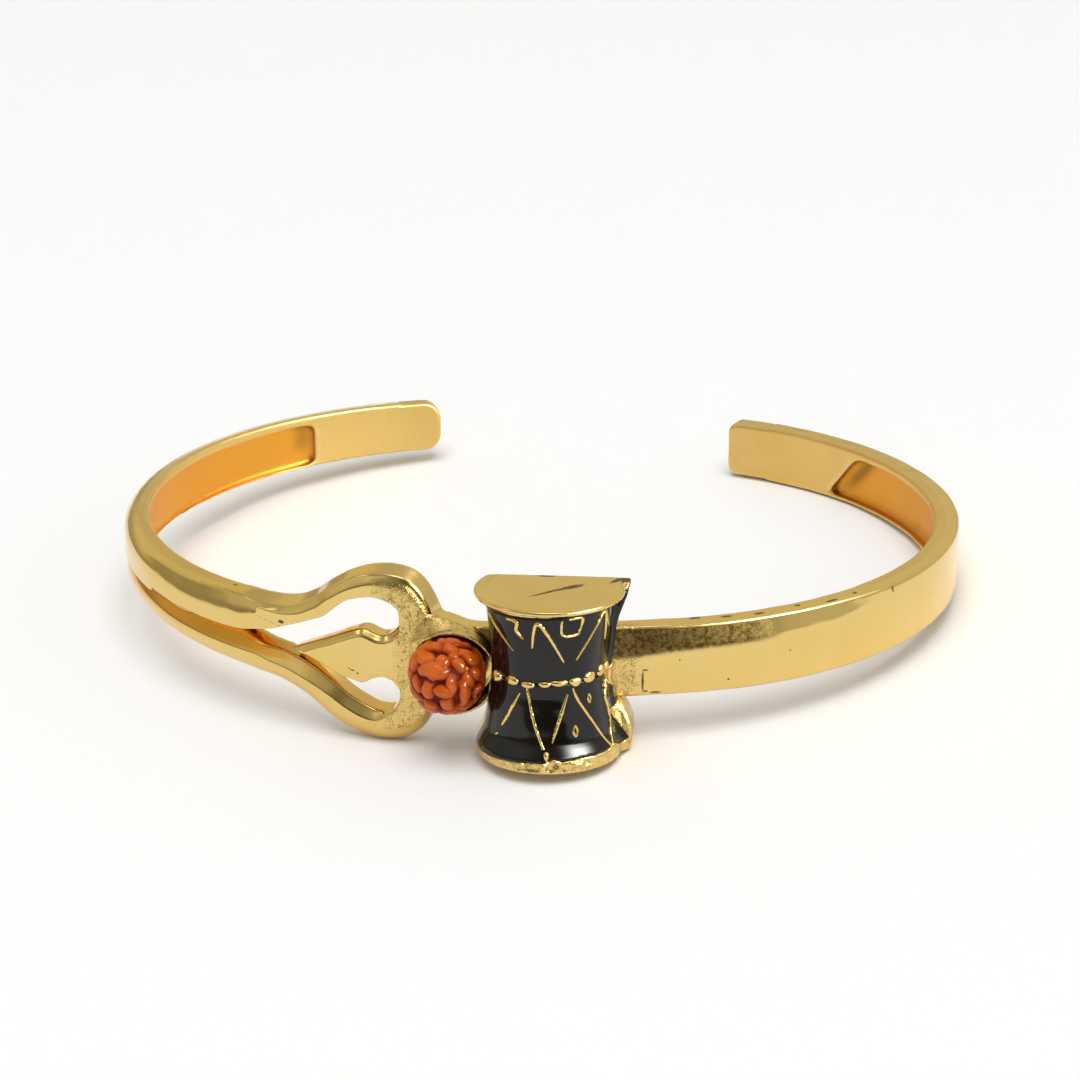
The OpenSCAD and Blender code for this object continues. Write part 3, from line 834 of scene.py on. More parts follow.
def point_normals(points, faces):
    a, b, c, d = (points[faces[:, i]] for i in range(4))
    n = np.cross(c - a, d - b)
    out = np.zeros_like(points)
    for i in range(4):
        for k in range(3):
            out[:, k] += np.bincount(faces[:, i], n[:, k], len(points))
    return out / np.maximum(np.linalg.norm(out, axis=1, keepdims=True), 1e-12)


def bending(points, faces, rounds=2):
    """How far each point stands out, in millimetres: over 0 on edges, under 0 in creases."""
    mean = points
    for _ in range(rounds):
        mean = neighbours(mean, faces)
    return ((points - mean) * point_normals(points, faces)).sum(1)


def give_wear(obj, points, faces, grain, scuffed_and_painted_dark=0.0, deep=0.0, painted_pocket_shade=0.0, matte=0.0):
    """Stores the cast and matte zones, the scuffed shoulder zone that is also darkened as a painted dark
    reflection, the hollows tinted orange as a painted interreflection, painted shade in the creases and the
    rubbed edges.
    """
    out = bending(points, faces)
    for name, zone in (("grain", grain), ("deep", deep), ("matte", matte), ("scuffed_and_painted_dark", scuffed_and_painted_dark)):
        give(obj, name, zone + 0 * out)
    # Painted shade: concave creases and the pockets at the channel ends darken the colour; the rubbed edges
    # are wear.
    give(obj, "painted_crease_shade", np.maximum(soft_step(-out, 0.012, 0.05), painted_pocket_shade))
    give(obj, "rub", soft_step(out, 0.01, 0.05))


# Marks on the drum as [x, y, z, direction x, direction y, half length, half width]: a scratched patch and a
# nick on the disc, and the stained corner
DRUM_MARKS = [
    [-0.3, -1.4, 6.35, 0.8, 0.62, 1.3, 0.14], [0.9, -0.4, 6.35, 0.83, 0.56, 1.5, 0.2],
    [1.7, 0.2, 6.35, 0.8, 0.6, 1.0, 0.34], [-0.4, 2.55, 6.33, 1.0, 0.0, 0.7, 0.28],
    [5.5, 2.4, 6.1, 0.7, 0.7, 0.7, 0.6], [4.9, 2.0, 6.35, 0.6, 0.8, 0.9, 0.2],
    [6.1, 2.3, 5.8, 0.7, 0.7, 0.9, 0.7],
]


def drum_mark(x, y, z, along_x, along_y, *half_sizes):
    start = on_drum([x, y, z])
    return mark_of(start, start, on_drum([x + 0.1 * along_x, y + 0.1 * along_y, z]), *half_sizes)


gold_marks = [band_mark(*row) for row in BAND_NICKS] + [drum_mark(*row) for row in DRUM_MARKS]
gold = gold_material("polished_gold", gold_marks)
enamel = enamel_material("black_enamel")
seed = seed_material("lacquered_seed")


def band_grain(u, z, w):
    """Where the casting keeps its sandy skin: the ring's right part, the shoulder and next to the drum; also
    the shoulder zone darkened as a painted dark reflection, the hollows tinted as a painted interreflection,
    painted shade at the channel ends and the matte zone.
    """
    face = soft_step(w, -1.3, -0.9)
    ring = soft_step(u, -14.6, -12.2) * soft_step(-u, 8.3, 8.6) * face * soft_step(np.abs(z), 0.6, 2.2)
    ring = np.maximum(ring, soft_step(u, -12.2, -11.3) * soft_step(-u, 4.0, 4.4) * face)
    beside = soft_step(u, 2.5, 3.2) * soft_step(-u, -7.2, -6.0) * face
    # The shoulder zone near the drum: its scuffs are real relief, and its colour is darkened as a painted
    # dark reflection.
    shoulder = soft_step(u, 2.5, 4) * soft_step(-u, -18.5, -15.5) * soft_step(w, -1.25, -1.05)
    shoulder = shoulder * soft_step(z - shoulder_z(u), -0.25, 0.2)
    shoulder = shoulder * soft_step(half_height(u) - z - 0.7 * top_cut(u), 0.0, 0.2)
    inside = 0.08 * soft_step(-w, 1.2, 1.35)
    # These zones get a deeper orange colour: painted interreflection in the hollows.
    hollow = soft_step(-w, 0.12, 0.3) * soft_step(w, -1.75, -1.5) * soft_step(-u, 18, 24)
    hollow = hollow * soft_step(z, -1.75, -1.5) * soft_step(-z, 0.2, 0.6)
    prong_wall = 0.3 * soft_step(-w, 0.4, 0.6) * soft_step(w, -1.9, -1.7) * soft_step(u, -24, -20)
    prong_wall = prong_wall * soft_step(-z, 0.8, 1.2) * soft_step(-u, 10.5, 11.5)
    lining = soft_step(-w, 1.05, 1.2) * soft_step(w, -1.96, -1.85) * soft_step(np.abs(u), 28, 34)
    lining = lining * (channel(u, z, w) < 0.2)
    inner_face = 0.12 * soft_step(-w, 1.8, 1.95)
    deep = np.maximum.reduce([hollow, prong_wall, lining, inner_face])
    ring = ring * (0.1 + 0.9 * soft_step(w, -0.25, -0.1))
    grain = np.maximum.reduce([ring, beside * (1 - 0.9 * shoulder), inside, 0.04 + 0 * u])
    # Painted shade at the closed ends of the channel
    left_end, right_end = PAD_LENGTH - LEN_LEFT + 1.0, CHANNEL_END_RIGHT - 1.4 - CHANNEL_END_LEAN * z
    painted_pocket_shade = np.exp(-((u - left_end) / 0.9) ** 2) * soft_step(z, -1.6, 0.2)
    painted_pocket_shade = 0.6 * np.maximum(painted_pocket_shade, np.exp(-((u - right_end) / 0.9) ** 2) * soft_step(z, -2.4, 0.0))
    matte = soft_step(-w, 1.0, 1.25) * soft_step(np.abs(u), 24, 32)
    return np.clip(grain, 0, 1), shoulder, np.clip(deep, 0, 1), painted_pocket_shade * lining, matte


BAND_CELL = 0.12


def make_band():
    points, faces = skin(cuff, band_us, np.arange(-7.25, 7.3, BAND_CELL), np.arange(-2.2, 1.4, BAND_CELL))
    in_pose = rested(place(*points.T))
    obj = mesh_piece("cast_band", in_pose * MM, faces, gold)
    give_wear(obj, in_pose, faces, *band_grain(*points.T))
    stand_in(obj, "cuff_casting")


make_band()


# The drum, about its own axis with its front towards -y, in millimetres

drum_r = table([
    [-6.35, 5.42], [-5.75, 5.45], [-5.5, 5.44], [-5.2, 5.36], [-4.8, 5.15], [-4.4, 4.95], [-4.0, 4.81],
    [-2.8, 4.62], [-1.6, 4.45], [-0.6, 4.3], [0.3, 4.26], [1, 4.29], [3, 4.44], [5, 4.66], [5.9, 4.75],
    [6.4, 4.8],
])
web_right = table([
    [-6.35, 5.95], [-5.2, 6.22], [-4.2, 6.1], [-3.1, 5.6], [-2.5, 4.9], [-2, 4.6], [0, 4.6], [3, 4.88],
    [4.8, 5.45], [5.4, 5.67], [6.35, 5.93],
])
web_front = table([[-6.35, 0.0], [-4.5, 0.0], [-3, 0.3], [0, 0.6], [3, 0.9], [5.4, 1.3], [6.35, 1.9]])
web_left = table([
    [-6.35, 5.2], [-5.4, 5.3], [-4.4, 5.0], [-3.2, 4.6], [-2, 4.2], [0, 3.8], [3, 3.8], [6.35, 4.2],
])


def drum_form(x, y, z):
    r = np.hypot(x, y)
    f = (r - drum_r(z)) * 0.97
    side = np.where(x > 0, x - web_right(z), -x - web_left(z))
    web = soft_max(side, np.where(x > 0, web_front(z), 1.2) - y, 0.4)
    f = soft_min(f, web, np.where(x > 0, 0.9, 0.5))
    f = soft_max(f, np.abs(z) - DRUM_H / 2, 0.18)
    lip = soft_max(r - DRUM_TOP_R, np.abs(z - DRUM_H / 2 + LIP_T / 2) - LIP_T / 2, 0.25)
    f = soft_min(f, lip, 0.12)
    return soft_max(f, y - DRUM_BACK, 0.25)


# The enamel fields' edges as [turn in degrees, height]; a degree is an ARC wide at the waist, in millimetres
ARC = math.radians(4.6)
field_ss = np.arange(-130 * ARC, 130 * ARC, 0.1)
field_zs = np.arange(-7, 7, 0.06)
UPPER_EDGE = [
    [-112, 0.32], [-112, 5.2], [-80, 5.25], [-67, 5.3], [-40, 5.42], [0, 5.58], [35, 5.7], [60, 5.82],
    [84, 5.9], [87, 5.4], [86, 4.4], [84, 3], [82, 2], [80, 1.2], [77, 0.32],
]
LOWER_EDGE = [
    [-92, 0.28], [-92, -2], [-88, -4.2], [-80, -5.55], [-66, -5.66], [-40, -5.6], [-20, -5.5], [0, -5.42],
    [8, -5.1], [14, -5.35], [30, -5.2], [45, -5.25], [62, -5.2], [70, -4.95], [79, -4.7], [88, -4.2],
    [84, -3.4], [79, -2.75], [78, -2.4], [86, -2.2], [90, -1.6], [89, -0.9], [84, -0.5], [79, -0.2],
    [78, 0.28],
]


# Enamel that runs on over the web at the right, as [right, up] in the camera's view of the drum
WEB_EDGE = [
    [3.9, 7.2], [6.6, 7.2], [6.3, 6.4], [5.75, 5.2], [5.25, 4.4], [5.0, 2.8], [4.7, 0.9], [4.4, 0.3],
    [3.9, 0.32],
]
SEMICIRCLE = [
    [4.15, -1.05], [4.55, -1.12], [4.86, -1.4], [5.04, -1.75], [5.06, -2.1], [4.98, -2.5], [4.8, -2.8],
    [4.5, -3.0], [4.2, -2.9],
]
TRIANGLE = [[4.5, -3.3], [4.8, -3.8], [5.2, -4.3], [5.91, -5.2], [5.5, -5.6], [4.8, -5.8], [4.5, -5.5]]
SEEN_RIGHT, SEEN_UP = 0.056, 0.38


def field_outline(rows):
    ring = np.array(rows, float)
    ring[:, 0] *= ARC
    return Outline(ring, field_ss, field_zs)


def turn_of(x, y):
    return np.degrees(np.arctan2(x, -y))


ENAMEL_T = 0.32
seen_grid = (np.arange(3.4, 6.8, 0.05), np.arange(-7, 7.2, 0.05))


def field(edge, *patches):
    """An enamel field: the part on the drum and the patches on the web."""
    outline = field_outline(edge)
    on_sides = [Outline(patch, *seen_grid) for patch in patches]

    def inside(x, y, z):
        f = outline(turn_of(x, y) * ARC, z)
        for patch in on_sides:
            on_web = patch(x + SEEN_RIGHT * y, z + SEEN_UP * y)
            on_web = np.maximum.reduce([on_web, z - 5.75, 3.6 - x, -3.4 - y, y - 2.4])
            f = np.minimum(f, on_web)
        return f
    return inside


upper_field = field(UPPER_EDGE, WEB_EDGE)
lower_field = field(LOWER_EDGE, SEMICIRCLE, TRIANGLE)


def enamel_form(inside):
    def form(x, y, z):
        skin_d = drum_form(x, y, z)
        return soft_max(soft_max(inside(x, y, z), skin_d - 0.02, 0.12), -ENAMEL_T - skin_d, 0.05)
    return form


HAMMERED_AT, HAMMERED_REACH, HAMMERED_DEEP = 8, 30, 0.3


def drum_body(x, y, z):
    f = drum_form(x, y, z)
    # The lower rim is hammered, most at the front
    hammered = np.exp(-((turn_of(x, y) - HAMMERED_AT) / HAMMERED_REACH) ** 2)
    hammered = hammered * soft_step(-z, 5.1, 5.4) * soft_step(z, -6.3, -6.0)
    f = f - HAMMERED_DEEP * hammered * rough_cast(x / 0.45, y / 0.45, z / 0.4 + 9)
    bed = np.minimum(upper_field(x, y, z), lower_field(x, y, z)) - 0.02
    return soft_max(f, -np.maximum(bed, -f - ENAMEL_T - 0.03), 0.04) + waviness(2 * x, 2 * z, 0.006)


def drum_grain(x, y, z):
    """The web at the sides and the lower rim keep the cast skin; the top is polished."""
    out = np.hypot(x, y) - drum_r(z)
    web = soft_step(out, 0.05, 0.3) * soft_step(-z, -5.8, -5.4)
    rim = soft_step(-z, 5.2, 5.5) * 0.7
    return np.clip(np.maximum.reduce([web, rim, 0.06 + 0 * x]), 0, 1)


DRUM_CELL, ENAMEL_CELL = 0.12, 0.11


def drum_piece(name, form, corners, step, material, node):
    points, faces = skin(form, *(np.arange(lo, hi + step, step) for lo, hi in zip(*corners)))
    obj = mesh_piece(name, on_drum(points), faces, material)
    if material is gold:
        give_wear(obj, points, faces, drum_grain(*points.T))
    stand_in(obj, node)


drum_piece("drum_casting", drum_body, [(-6.5, -5.9, -6.6), (6.5, 3.1, 6.6)], DRUM_CELL,
           gold, "cuff_casting")
drum_piece("upper_enamel", enamel_form(upper_field), [(-6.2, -5.4, 0.1), (6.2, 3.0, 6.1)], ENAMEL_CELL,
           enamel, "enamel_upper")
drum_piece("lower_enamel", enamel_form(lower_field), [(-6.2, -5.6, -6.0), (6.2, 3.0, 0.5)], ENAMEL_CELL,
           enamel, "enamel_lower")


# Geometry Nodes trees: the lacing wires and the waist grains

def build_tree(name, inputs):
    """A Geometry Nodes tree with named sizes, its net and the sockets at its two ends."""
    tree = bpy.data.node_groups.new(name, "GeometryNodeTree")
    tree.interface.new_socket("Geometry", in_out="INPUT", socket_type="NodeSocketGeometry")
    for label, value in inputs.items():
        tree.interface.new_socket(label, in_out="INPUT", socket_type="NodeSocketFloat").default_value = value
    tree.interface.new_socket("Geometry", in_out="OUTPUT", socket_type="NodeSocketGeometry")
    net = Net(tree)
    return tree, net, net.add("NodeGroupInput").outputs, net.add("NodeGroupOutput").inputs


def baked(obj, tree, name, values):
    """The tree's result on an object as a plain mesh piece."""
    build = obj.modifiers.new("build", "NODES")
    build.node_group = tree
    for item in tree.interface.items_tree:
        if item.item_type == "SOCKET" and item.in_out == "INPUT" and item.name in values:
            build[item.identifier] = values[item.name]
    bpy.context.view_layer.update()
    mesh = bpy.data.meshes.new_from_object(obj.evaluated_get(bpy.context.evaluated_depsgraph_get()))
    mesh.name = name
    bpy.data.objects.remove(obj)
    made = bpy.data.objects.new(name, mesh)
    bpy.context.scene.collection.objects.link(made)
    mesh.polygons.foreach_set("use_smooth", [True] * len(mesh.polygons))
    return made


WIRE_SPACING = 0.00008


def wire_tree(material):
    """Round wire along each polyline; its thickness follows the stored value and a little noise."""
    tree, net, given, made = build_tree("lacing_wire", {"Wire radius": 0.00013, "Unevenness": 0.35})
    runs = net.fed(net.add("GeometryNodeMeshToCurve"), {"Mesh": given["Geometry"]})["Curve"]
    steps = net.add("GeometryNodeResampleCurve", mode="LENGTH")
    runs = net.fed(steps, {"Curve": runs, "Length": WIRE_SPACING})["Curve"]
    stored = net.add("GeometryNodeInputNamedAttribute", data_type="FLOAT")
    thick = net.fed(stored, {"Name": "thick"})["Attribute"]
    noise = net.math("SUBTRACT", net.noise(None, 3200.0), 0.5)
    scale = net.times(net.math("MULTIPLY_ADD", noise, given["Unevenness"], 1.0), thick)
    runs = net.fed(net.add("GeometryNodeSetCurveRadius"), {"Curve": runs, "Radius": scale})["Curve"]
    round_wire = {"Resolution": 10, "Radius": given["Wire radius"]}
    profile = net.fed(net.add("GeometryNodeCurvePrimitiveCircle"), round_wire)["Curve"]
    sweep = net.add("GeometryNodeCurveToMesh")
    swept = net.fed(sweep, {"Curve": runs, "Profile Curve": profile, "Fill Caps": True})["Mesh"]
    if "Scale" in sweep.inputs:
        net.feed(sweep.inputs["Scale"], scale)
    real = net.fed(net.add("GeometryNodeRealizeInstances"), {"Geometry": swept})["Geometry"]
    painted = net.fed(net.add("GeometryNodeSetMaterial"), {"Geometry": real, "Material": material})
    net.feed(made["Geometry"], painted["Geometry"])
    return tree


# Each lacing wire as [turn in degrees, height, relative thickness], along its run
WIRES = [
    [[-65.5, 4.95, 0.9], [-48, 3.9, 1.0], [-31.4, 2.71, 0.5]],
    [[-37, 5.2, 0.9], [-26, 5.1, 1.5], [-27, 4.4, 1.3], [-20, 3.85, 0.7]],
    [[-11.7, 3.2, 0.7], [-10.2, 4.3, 1.1], [-7.4, 5.1, 1.3], [-3, 5.0, 1.4], [5, 4.0, 1.2],
     [18.2, 2.08, 0.6]],
    [[22, 5.45, 0.7], [34.7, 5.45, 1.0], [33, 4.6, 0.9], [30, 4.2, 1.0], [17, 4.2, 0.9], [15.2, 5.0, 0.9],
     [16, 5.4, 0.7]],
    [[30.7, 2.15, 0.7], [40, 3.2, 1.0], [50, 4.3, 1.0], [60, 5.3, 1.2], [66, 5.2, 1.2], [68.5, 4.2, 1.0],
     [69.6, 3.05, 0.6]],
    [[-25.3, -0.5, 0.5], [-33, -1.7, 1.3], [-37, -2.4, 1.2], [-42.6, -3.23, 0.9]],
    [[-17.8, -0.05, 0.9], [-10, -2.4, 1.1], [-0.5, -4.5, 1.0]],
    [[22.3, -0.48, 0.7], [16, -1.8, 1.4], [11, -3, 1.2], [7, -4.02, 0.6]],
    [[28, -0.06, 0.7], [32, -0.9, 1.0], [38, -1.69, 1.0], [50, -3.2, 0.9], [65.3, -5.2, 0.8]],
    [[77.2, -0.3, 1.1], [74, -0.9, 1.2], [70.7, -1.47, 1.2], [73, -2.1, 1.2], [75.5, -2.8, 1.1],
     [73, -4.0, 0.9], [66.9, -4.99, 0.9]],
    [[46.1, -0.72, 0.6], [44.3, -1.05, 0.6], [46.1, -1.42, 0.6], [47.9, -1.05, 0.6], [46.1, -0.72, 0.6]],
    [[28.4, -2.85, 0.8], [26.3, -3.25, 0.8], [28.4, -3.7, 0.8], [30.5, -3.25, 0.8], [28.4, -2.85, 0.8]],
]


def drum_surface(turn, z, out=0.0):
    """Points on the drum's skin at a turn in degrees and a height."""
    a = np.radians(turn)
    r = drum_r(z) + out
    return np.stack([r * np.sin(a), -r * np.cos(a), z + 0 * r], axis=-1)


def make_wires():
    verts, edges, thick = [], [], []
    for rows in WIRES:
        c = curve(rows, steps=5)
        first = len(verts)
        verts += [tuple(p) for p in on_drum(drum_surface(c[:, 0], c[:, 1], 0.03))]
        thick += list(c[:, 2])
        edges += [(first + i, first + i + 1) for i in range(len(c) - 1)]
    mesh = bpy.data.meshes.new("wire_runs")
    mesh.from_pydata(verts, edges, [])
    obj = bpy.data.objects.new("wire_runs", mesh)
    bpy.context.scene.collection.objects.link(obj)
    give(obj, "thick", thick)
    made = baked(obj, wire_tree(gold), "lacing_wires", {"Wire radius": 0.00012, "Unevenness": 0.9})
    stand_in(made, "cuff_casting")


# Each waist grain as [turn in degrees, height, half width, half height, how far it stands out]
GRAINS = [
    [-57, 0.22, 0.6, 0.56, 0.54], [-35, 0.3, 0.6, 0.42, 0.26], [-17, 0.2, 0.56, 0.34, 0.26],
    [0, 0.33, 0.56, 0.28, 0.26], [14, 0.4, 0.58, 0.28, 0.26], [31, 0.38, 0.5, 0.4, 0.26],
    [48, 0.48, 0.58, 0.44, 0.26], [66, 0.62, 0.5, 0.45, 0.3], [82, 0.6, 0.34, 0.36, 0.26],
    [2, -4.95, 0.22, 0.4, 0.26], [-48.6, -4.03, 0.12, 0.12, 0.2],
]


def ball_points(rows, cols):
    """Directions all round, with one point at each pole."""
    t = np.pi * (np.arange(1, rows) / rows)[:, None]
    b = 2 * np.pi * (np.arange(cols) / cols)[None, :]
    rings = np.stack([np.sin(t) * np.cos(b), np.sin(t) * np.sin(b), np.cos(t) + 0 * b], axis=-1)
    return np.vstack([[[0.0, 0.0, 1.0]], rings.reshape(-1, 3), [[0.0, 0.0, -1.0]]])


def ball_faces(rows, cols, first=0):
    last = first + 1 + (rows - 1) * cols
    faces = []
    for j in range(cols):
        k = (j + 1) % cols
        faces.append((first, first + 1 + j, first + 1 + k))
        for a in range(first + 1, last - cols, cols):
            faces.append((a + j, a + cols + j, a + cols + k, a + k))
        faces.append((last - cols + j, last, last - cols + k))
    return faces


def make_grains():
    """Flattened, slightly knobbly beads of metal round the waist."""
    rows, cols = 10, 18
    d = ball_points(rows, cols)
    b, t = np.arctan2(d[:, 1], d[:, 0]), np.arccos(d[:, 2])
    verts, faces = [], []
    rng = np.random.default_rng(4)
    for turn, z, half_w, half_h, proud in GRAINS:
        a = math.radians(turn)
        side = np.array([math.cos(a), math.sin(a), 0])
        out = np.array([math.sin(a), -math.cos(a), 0])
        centre = drum_surface(np.array(float(turn)), np.array(float(z)), -0.02)
        wobble = rng.uniform(-0.12, 0.12, 4)
        k = 1 + wobble[0] * np.cos(2 * b) + wobble[1] * np.sin(3 * b) + wobble[2] * np.cos(2 * t)
        across, up = (k * half_w * d[:, 0])[:, None], (k * half_h * d[:, 1])[:, None]
        faces += ball_faces(rows, cols, len(verts) * len(d))
        verts.append(centre + across * side + up * np.array([0, 0, 1.0]) + proud * d[:, 2:] * out)
    made = mesh_piece("waist_grains", on_drum(np.vstack(verts)), faces, gold)
    stand_in(made, "cuff_casting")


make_wires()
make_grains()


# The seed bead: lumps radiate from the mouth of its bore

BEAD_TURN, BEAD_RISE = 15.5, 22.7
BEAD_RELIEF, BEAD_PROUD = 0.75, 0.08
MOUTH_DEEP, MOUTH_WIDE = 0.2, 0.11
LUMP_LONG, LUMP_WIDE, LUMP_FULL = 1.3, 1.42, 2.3
# The lumps that show at the front, as [right, up, turn in degrees, half length, half width, height], the
# first two and the half sizes as shares of the bead's radius
LUMPS = [
    [-0.42, 0.8, 10, 0.33, 0.16, 0.85], [-0.15, 0.93, 0, 0.15, 0.14, 0.9],
    [-0.60, 0.52, -12, 0.40, 0.155, 0.95], [-0.88, 0.30, -20, 0.2, 0.16, 0.85],
    [-0.36, 0.17, -8, 0.44, 0.2, 1.0], [-0.05, 0.42, -40, 0.22, 0.17, 0.92],
    [0.14, 0.77, -50, 0.24, 0.17, 0.9], [0.22, 0.55, 0, 0.12, 0.11, 0.8],
    [0.62, 0.54, -38, 0.34, 0.16, 0.95], [0.38, 0.31, -45, 0.2, 0.15, 0.9],
    [0.56, 0.2, -20, 0.12, 0.12, 0.8], [0.80, 0.1, -30, 0.2, 0.16, 0.85],
    [0.16, -0.2, -100, 0.25, 0.12, 0.95], [0.47, -0.46, -74, 0.4, 0.135, 1.0],
    [0.60, -0.1, -50, 0.25, 0.125, 0.9], [0.83, -0.38, 35, 0.2, 0.13, 0.85],
    [-0.5, -0.35, -80, 0.23, 0.15, 0.9], [-0.80, -0.2, -60, 0.24, 0.12, 0.8],
    [-0.07, -0.42, -20, 0.25, 0.16, 0.9], [-0.45, -0.74, -70, 0.2, 0.15, 0.9],
    [0.03, -0.76, -80, 0.22, 0.16, 0.9], [-0.75, -0.55, -50, 0.22, 0.12, 0.75],
    [0.2, -0.94, 0, 0.22, 0.14, 0.85], [-0.21, -0.95, 0, 0.16, 0.12, 0.8],
    [0.75, -0.64, 50, 0.16, 0.12, 0.8], [-0.97, 0.02, 90, 0.16, 0.13, 0.8],
    [0.98, -0.1, 90, 0.2, 0.12, 0.8], [0.53, 0.83, -40, 0.2, 0.14, 0.85],
]


BEAD_ROWS, BEAD_COLS = 150, 300
# The lumps of the far side: evenly spread tries, kept where they are this far in radians from all others
SPREAD, LUMP_APART, GOLDEN_TURN = 90, 0.27, 2.399963


def all_lumps():
    """The traced lumps and, behind them, evenly spread ones, each with its direction first."""
    lumps = [[np.array([r, u, math.sqrt(max(1 - r * r - u * u, 0.0))]), *rest] for r, u, *rest in LUMPS]
    rng = np.random.default_rng(11)
    for k in range(SPREAD):
        up = 1 - 2 * (k + 0.5) / SPREAD
        a = k * GOLDEN_TURN
        c = np.array([math.sqrt(1 - up * up) * math.cos(a), math.sqrt(1 - up * up) * math.sin(a), up])
        free = all(np.dot(c, lump[0]) < math.cos(LUMP_APART) for lump in lumps)
        if free and c[2] < 0.45:
            sizes = [rng.uniform(*span) for span in ((0, 180), (0.24, 0.36), (0.17, 0.22), (0.75, 1.0))]
            lumps.append([c, *sizes])
    return lumps


def make_bead():
    """A dense ball whose skin is pushed out into long lumps, with crevices between them."""
    d = ball_points(BEAD_ROWS, BEAD_COLS)
    wobble = 0.075 * np.stack([rough_cast(*(d.T * 4 + shift)) for shift in (1.5, 7.5, 13.5)], axis=1)
    bent = d + wobble
    bent /= np.linalg.norm(bent, axis=1, keepdims=True)
    height = np.full(len(d), 0.16)
    for c, turn, long, wide, high in all_lumps():
        side = np.cross([0, 1.0, 0], c) if abs(c[1]) < 0.95 else np.array([1.0, 0, 0])
        side /= np.linalg.norm(side)
        over = np.cross(c, side)
        t = math.radians(turn)
        along = math.cos(t) * side + math.sin(t) * over
        across = -math.sin(t) * side + math.cos(t) * over
        q = np.abs(bent @ along / (LUMP_LONG * long)) ** LUMP_FULL
        q = q + np.abs(bent @ across / (LUMP_WIDE * wide)) ** LUMP_FULL
        dome = high * np.sqrt(np.clip(1 - np.where(bent @ c > 0.3, q, AWAY), 0, 1))
        height = soft_max(height, dome, 0.12)
    az, rise = math.radians(BEAD_TURN), math.radians(BEAD_RISE)
    axis = np.array([math.sin(az) * math.cos(rise), -math.cos(az) * math.cos(rise), math.sin(rise)])
    e = math.radians(CAM_ELEVATION)
    basis = np.stack([[1.0, 0, 0], [0, math.sin(e), math.cos(e)], [0, -math.cos(e), math.sin(e)]], axis=1)
    mouth = np.arccos(np.clip(d @ (axis @ basis), -1, 1))
    pit = np.exp(-(mouth / MOUTH_WIDE) ** 2)
    r = BEAD_R + BEAD_PROUD - BEAD_RELIEF * (1 - np.clip(height, 0, 1)) - MOUTH_DEEP * pit
    points = (d * r[:, None]) @ basis.T + place(np.array(BEAD_U), BEAD_Z, BEAD_W)
    obj = mesh_piece("seed_bead", rested(points) * MM, ball_faces(BEAD_ROWS, BEAD_COLS), seed)
    give(obj, "crest", np.clip(height, 0, 1))
    give(obj, "mouth", pit)
    stand_in(obj, "rudraksha_bead")


make_bead()


# Floor, lights and finish

FLOOR_HALF = 4.0
FLOOR_COLOUR = (0.9, 0.9, 0.89, 1)
OVERHEAD_AT = (0.0, -0.39, 1.38)
OVERHEAD_SIZE = 1.14
OVERHEAD_BRIGHT = 3.75
# How bright the room is for all that isn't glossy
ROOM_BRIGHT = 0.5
# What the metal mirrors round the room, in three layers, as [turn in degrees from the camera's side,
# brightness, warmth]
LOW_ROUND = [
    [-180, 0.5, 0.6], [-140, 0.4, 0.6], [-92, 0.33, 0.4], [-60, 0.25, 0.6], [-40, 0.13, 0.8],
    [-10, 0.08, 0.9], [26, 0.04, 0.9], [37, 0.16, 0.4], [47, 0.52, 0.2], [60, 0.62, 0.1], [110, 0.6, 0.1],
    [150, 0.55, 0.5], [180, 0.5, 0.6],
]
MID_ROUND = [
    [-180, 0.74, 0.6], [-130, 0.72, 0.6], [-100, 0.55, 0.3], [-72, 0.68, 0.2], [-48, 0.4, 0.3],
    [-33, 0.16, 0.5], [0, 0.1, 0.6], [28, 0.06, 0.6], [38, 0.18, 0.4], [48, 0.52, 0.2], [60, 0.62, 0.1],
    [110, 0.65, 0.1], [150, 0.74, 0.5], [180, 0.74, 0.6],
]
HIGH_ROUND = [
    [-180, 0.6, 0.2], [-120, 0.45, 0.1], [-60, 0.3, 0.0], [0, 0.22, 0.0], [50, 0.3, 0.0], [120, 0.6, 0.1],
    [180, 0.6, 0.2],
]
# Soft lights that show only mirrored, as [turn, rise, half width, half height, brightness], sizes in degrees
SOFT_LIGHTS = [
    [58, 30, 20, 7, 38.0], [-42, 34, 24, 6, 0.42], [98, 52, 30, 9, 3.0], [-92, 50, 14, 5, 1.5],
    [0, 84, 80, 13, 4.0],
]


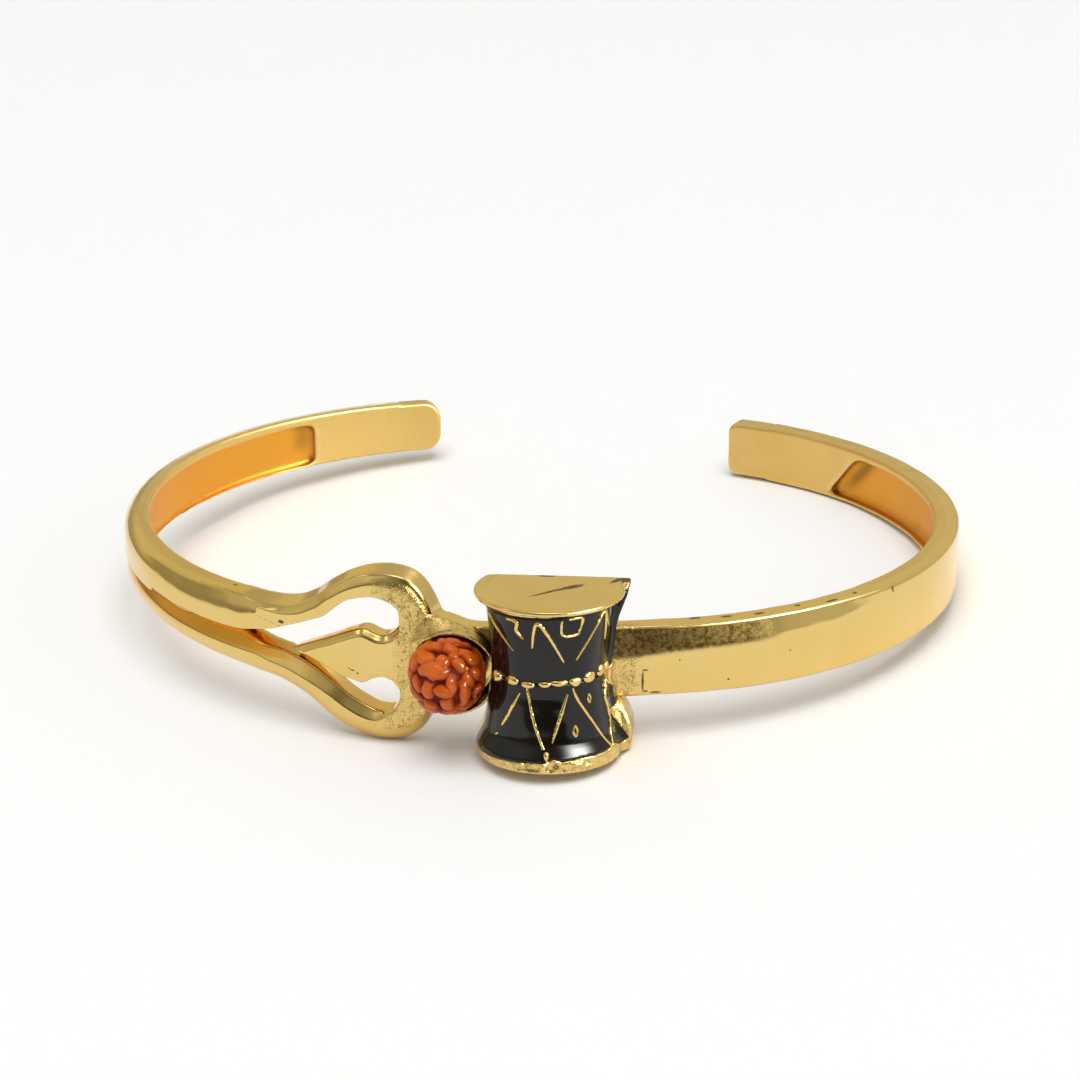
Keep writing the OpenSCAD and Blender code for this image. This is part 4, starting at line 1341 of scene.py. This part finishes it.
def make_surroundings():
    """The room: dark and warm at the camera's side, pale at the back, soft lights, a white backdrop."""
    world = bpy.data.worlds.new("studio")
    world.use_nodes = True
    net = Net(world.node_tree)
    toward = net.add("ShaderNodeTexCoord").outputs["Generated"]
    x, y, z = net.fed(net.add("ShaderNodeSeparateXYZ"), {0: toward})
    turn = net.math("ARCTAN2", x, net.times(y, -1.0))
    rise = net.math("ARCSINE", z)
    share = net.plus(net.math("DIVIDE", turn, 2 * math.pi), 0.5)
    rounds = []
    for rows in (LOW_ROUND, MID_ROUND, HIGH_ROUND):
        stops = net.add("ShaderNodeValToRGB")
        ramp = stops.color_ramp
        while len(ramp.elements) < len(rows):
            ramp.elements.new(0.5)
        for element, (degrees, value, warm) in zip(ramp.elements, rows):
            element.position = degrees / 360 + 0.5
            element.color = (value, value * (1 - 0.15 * warm), value * (1 - 0.7 * warm), 1)
        rounds.append(net.fed(stops, {0: share})["Color"])
    colour = net.blend(net.ramp(z, 0.1, 0.26), rounds[0], rounds[1])
    colour = net.blend(net.ramp(z, 0.56, 0.68), colour, rounds[2])
    shine = 0.0
    for *place_and_size, bright in SOFT_LIGHTS:
        at_turn, at_rise, wide, high = (math.radians(degrees) for degrees in place_and_size)
        across = net.math("DIVIDE", net.math("SUBTRACT", turn, at_turn), wide)
        along = net.math("DIVIDE", net.math("SUBTRACT", rise, at_rise), high)
        far = net.plus(net.times(across, across), net.times(along, along))
        shine = net.plus(shine, net.times(net.math("EXPONENT", net.times(far, -1.0)), bright))
    mirrored = net.vector("ADD", colour, shine)[0]
    ray = net.add("ShaderNodeLightPath").outputs
    plain = net.blend(ray["Is Camera Ray"], (ROOM_BRIGHT,) * 3, (1.0,) * 3)
    background = world.node_tree.nodes["Background"].inputs
    net.feed(background["Color"], net.blend(ray["Is Glossy Ray"], plain, mirrored))
    background["Strength"].default_value = 1.0
    bpy.context.scene.world = world


def hang_overhead():
    """A flat lamp that faces the bangle and isn't mirrored in it."""
    light = bpy.data.lights.new("overhead", "AREA")
    light.shape = "RECTANGLE"
    light.size = light.size_y = OVERHEAD_SIZE
    light.energy = OVERHEAD_BRIGHT * math.pi * OVERHEAD_SIZE * OVERHEAD_SIZE
    lamp = bpy.data.objects.new("overhead", light)
    lamp.location = OVERHEAD_AT
    lamp.rotation_euler = Vector(OVERHEAD_AT).to_track_quat("Z", "Y").to_euler()
    lamp.visible_glossy = False
    bpy.context.scene.collection.objects.link(lamp)


def lay_floor():
    mesh = bpy.data.meshes.new("floor")
    s = FLOOR_HALF
    mesh.from_pydata([(-s, -s, 0), (s, -s, 0), (s, s, 0), (-s, s, 0)], [], [(0, 1, 2, 3)])
    material, _, p = new_material("pale_floor")
    p["Base Color"].default_value = FLOOR_COLOUR
    p["Metallic"].default_value = 0.0
    p["Roughness"].default_value = 0.9
    mesh.materials.append(material)
    floor = bpy.data.objects.new("floor", mesh)
    bpy.context.scene.collection.objects.link(floor)


lay_floor()
make_surroundings()
hang_overhead()
bpy.context.scene.view_settings.view_transform = "Standard"
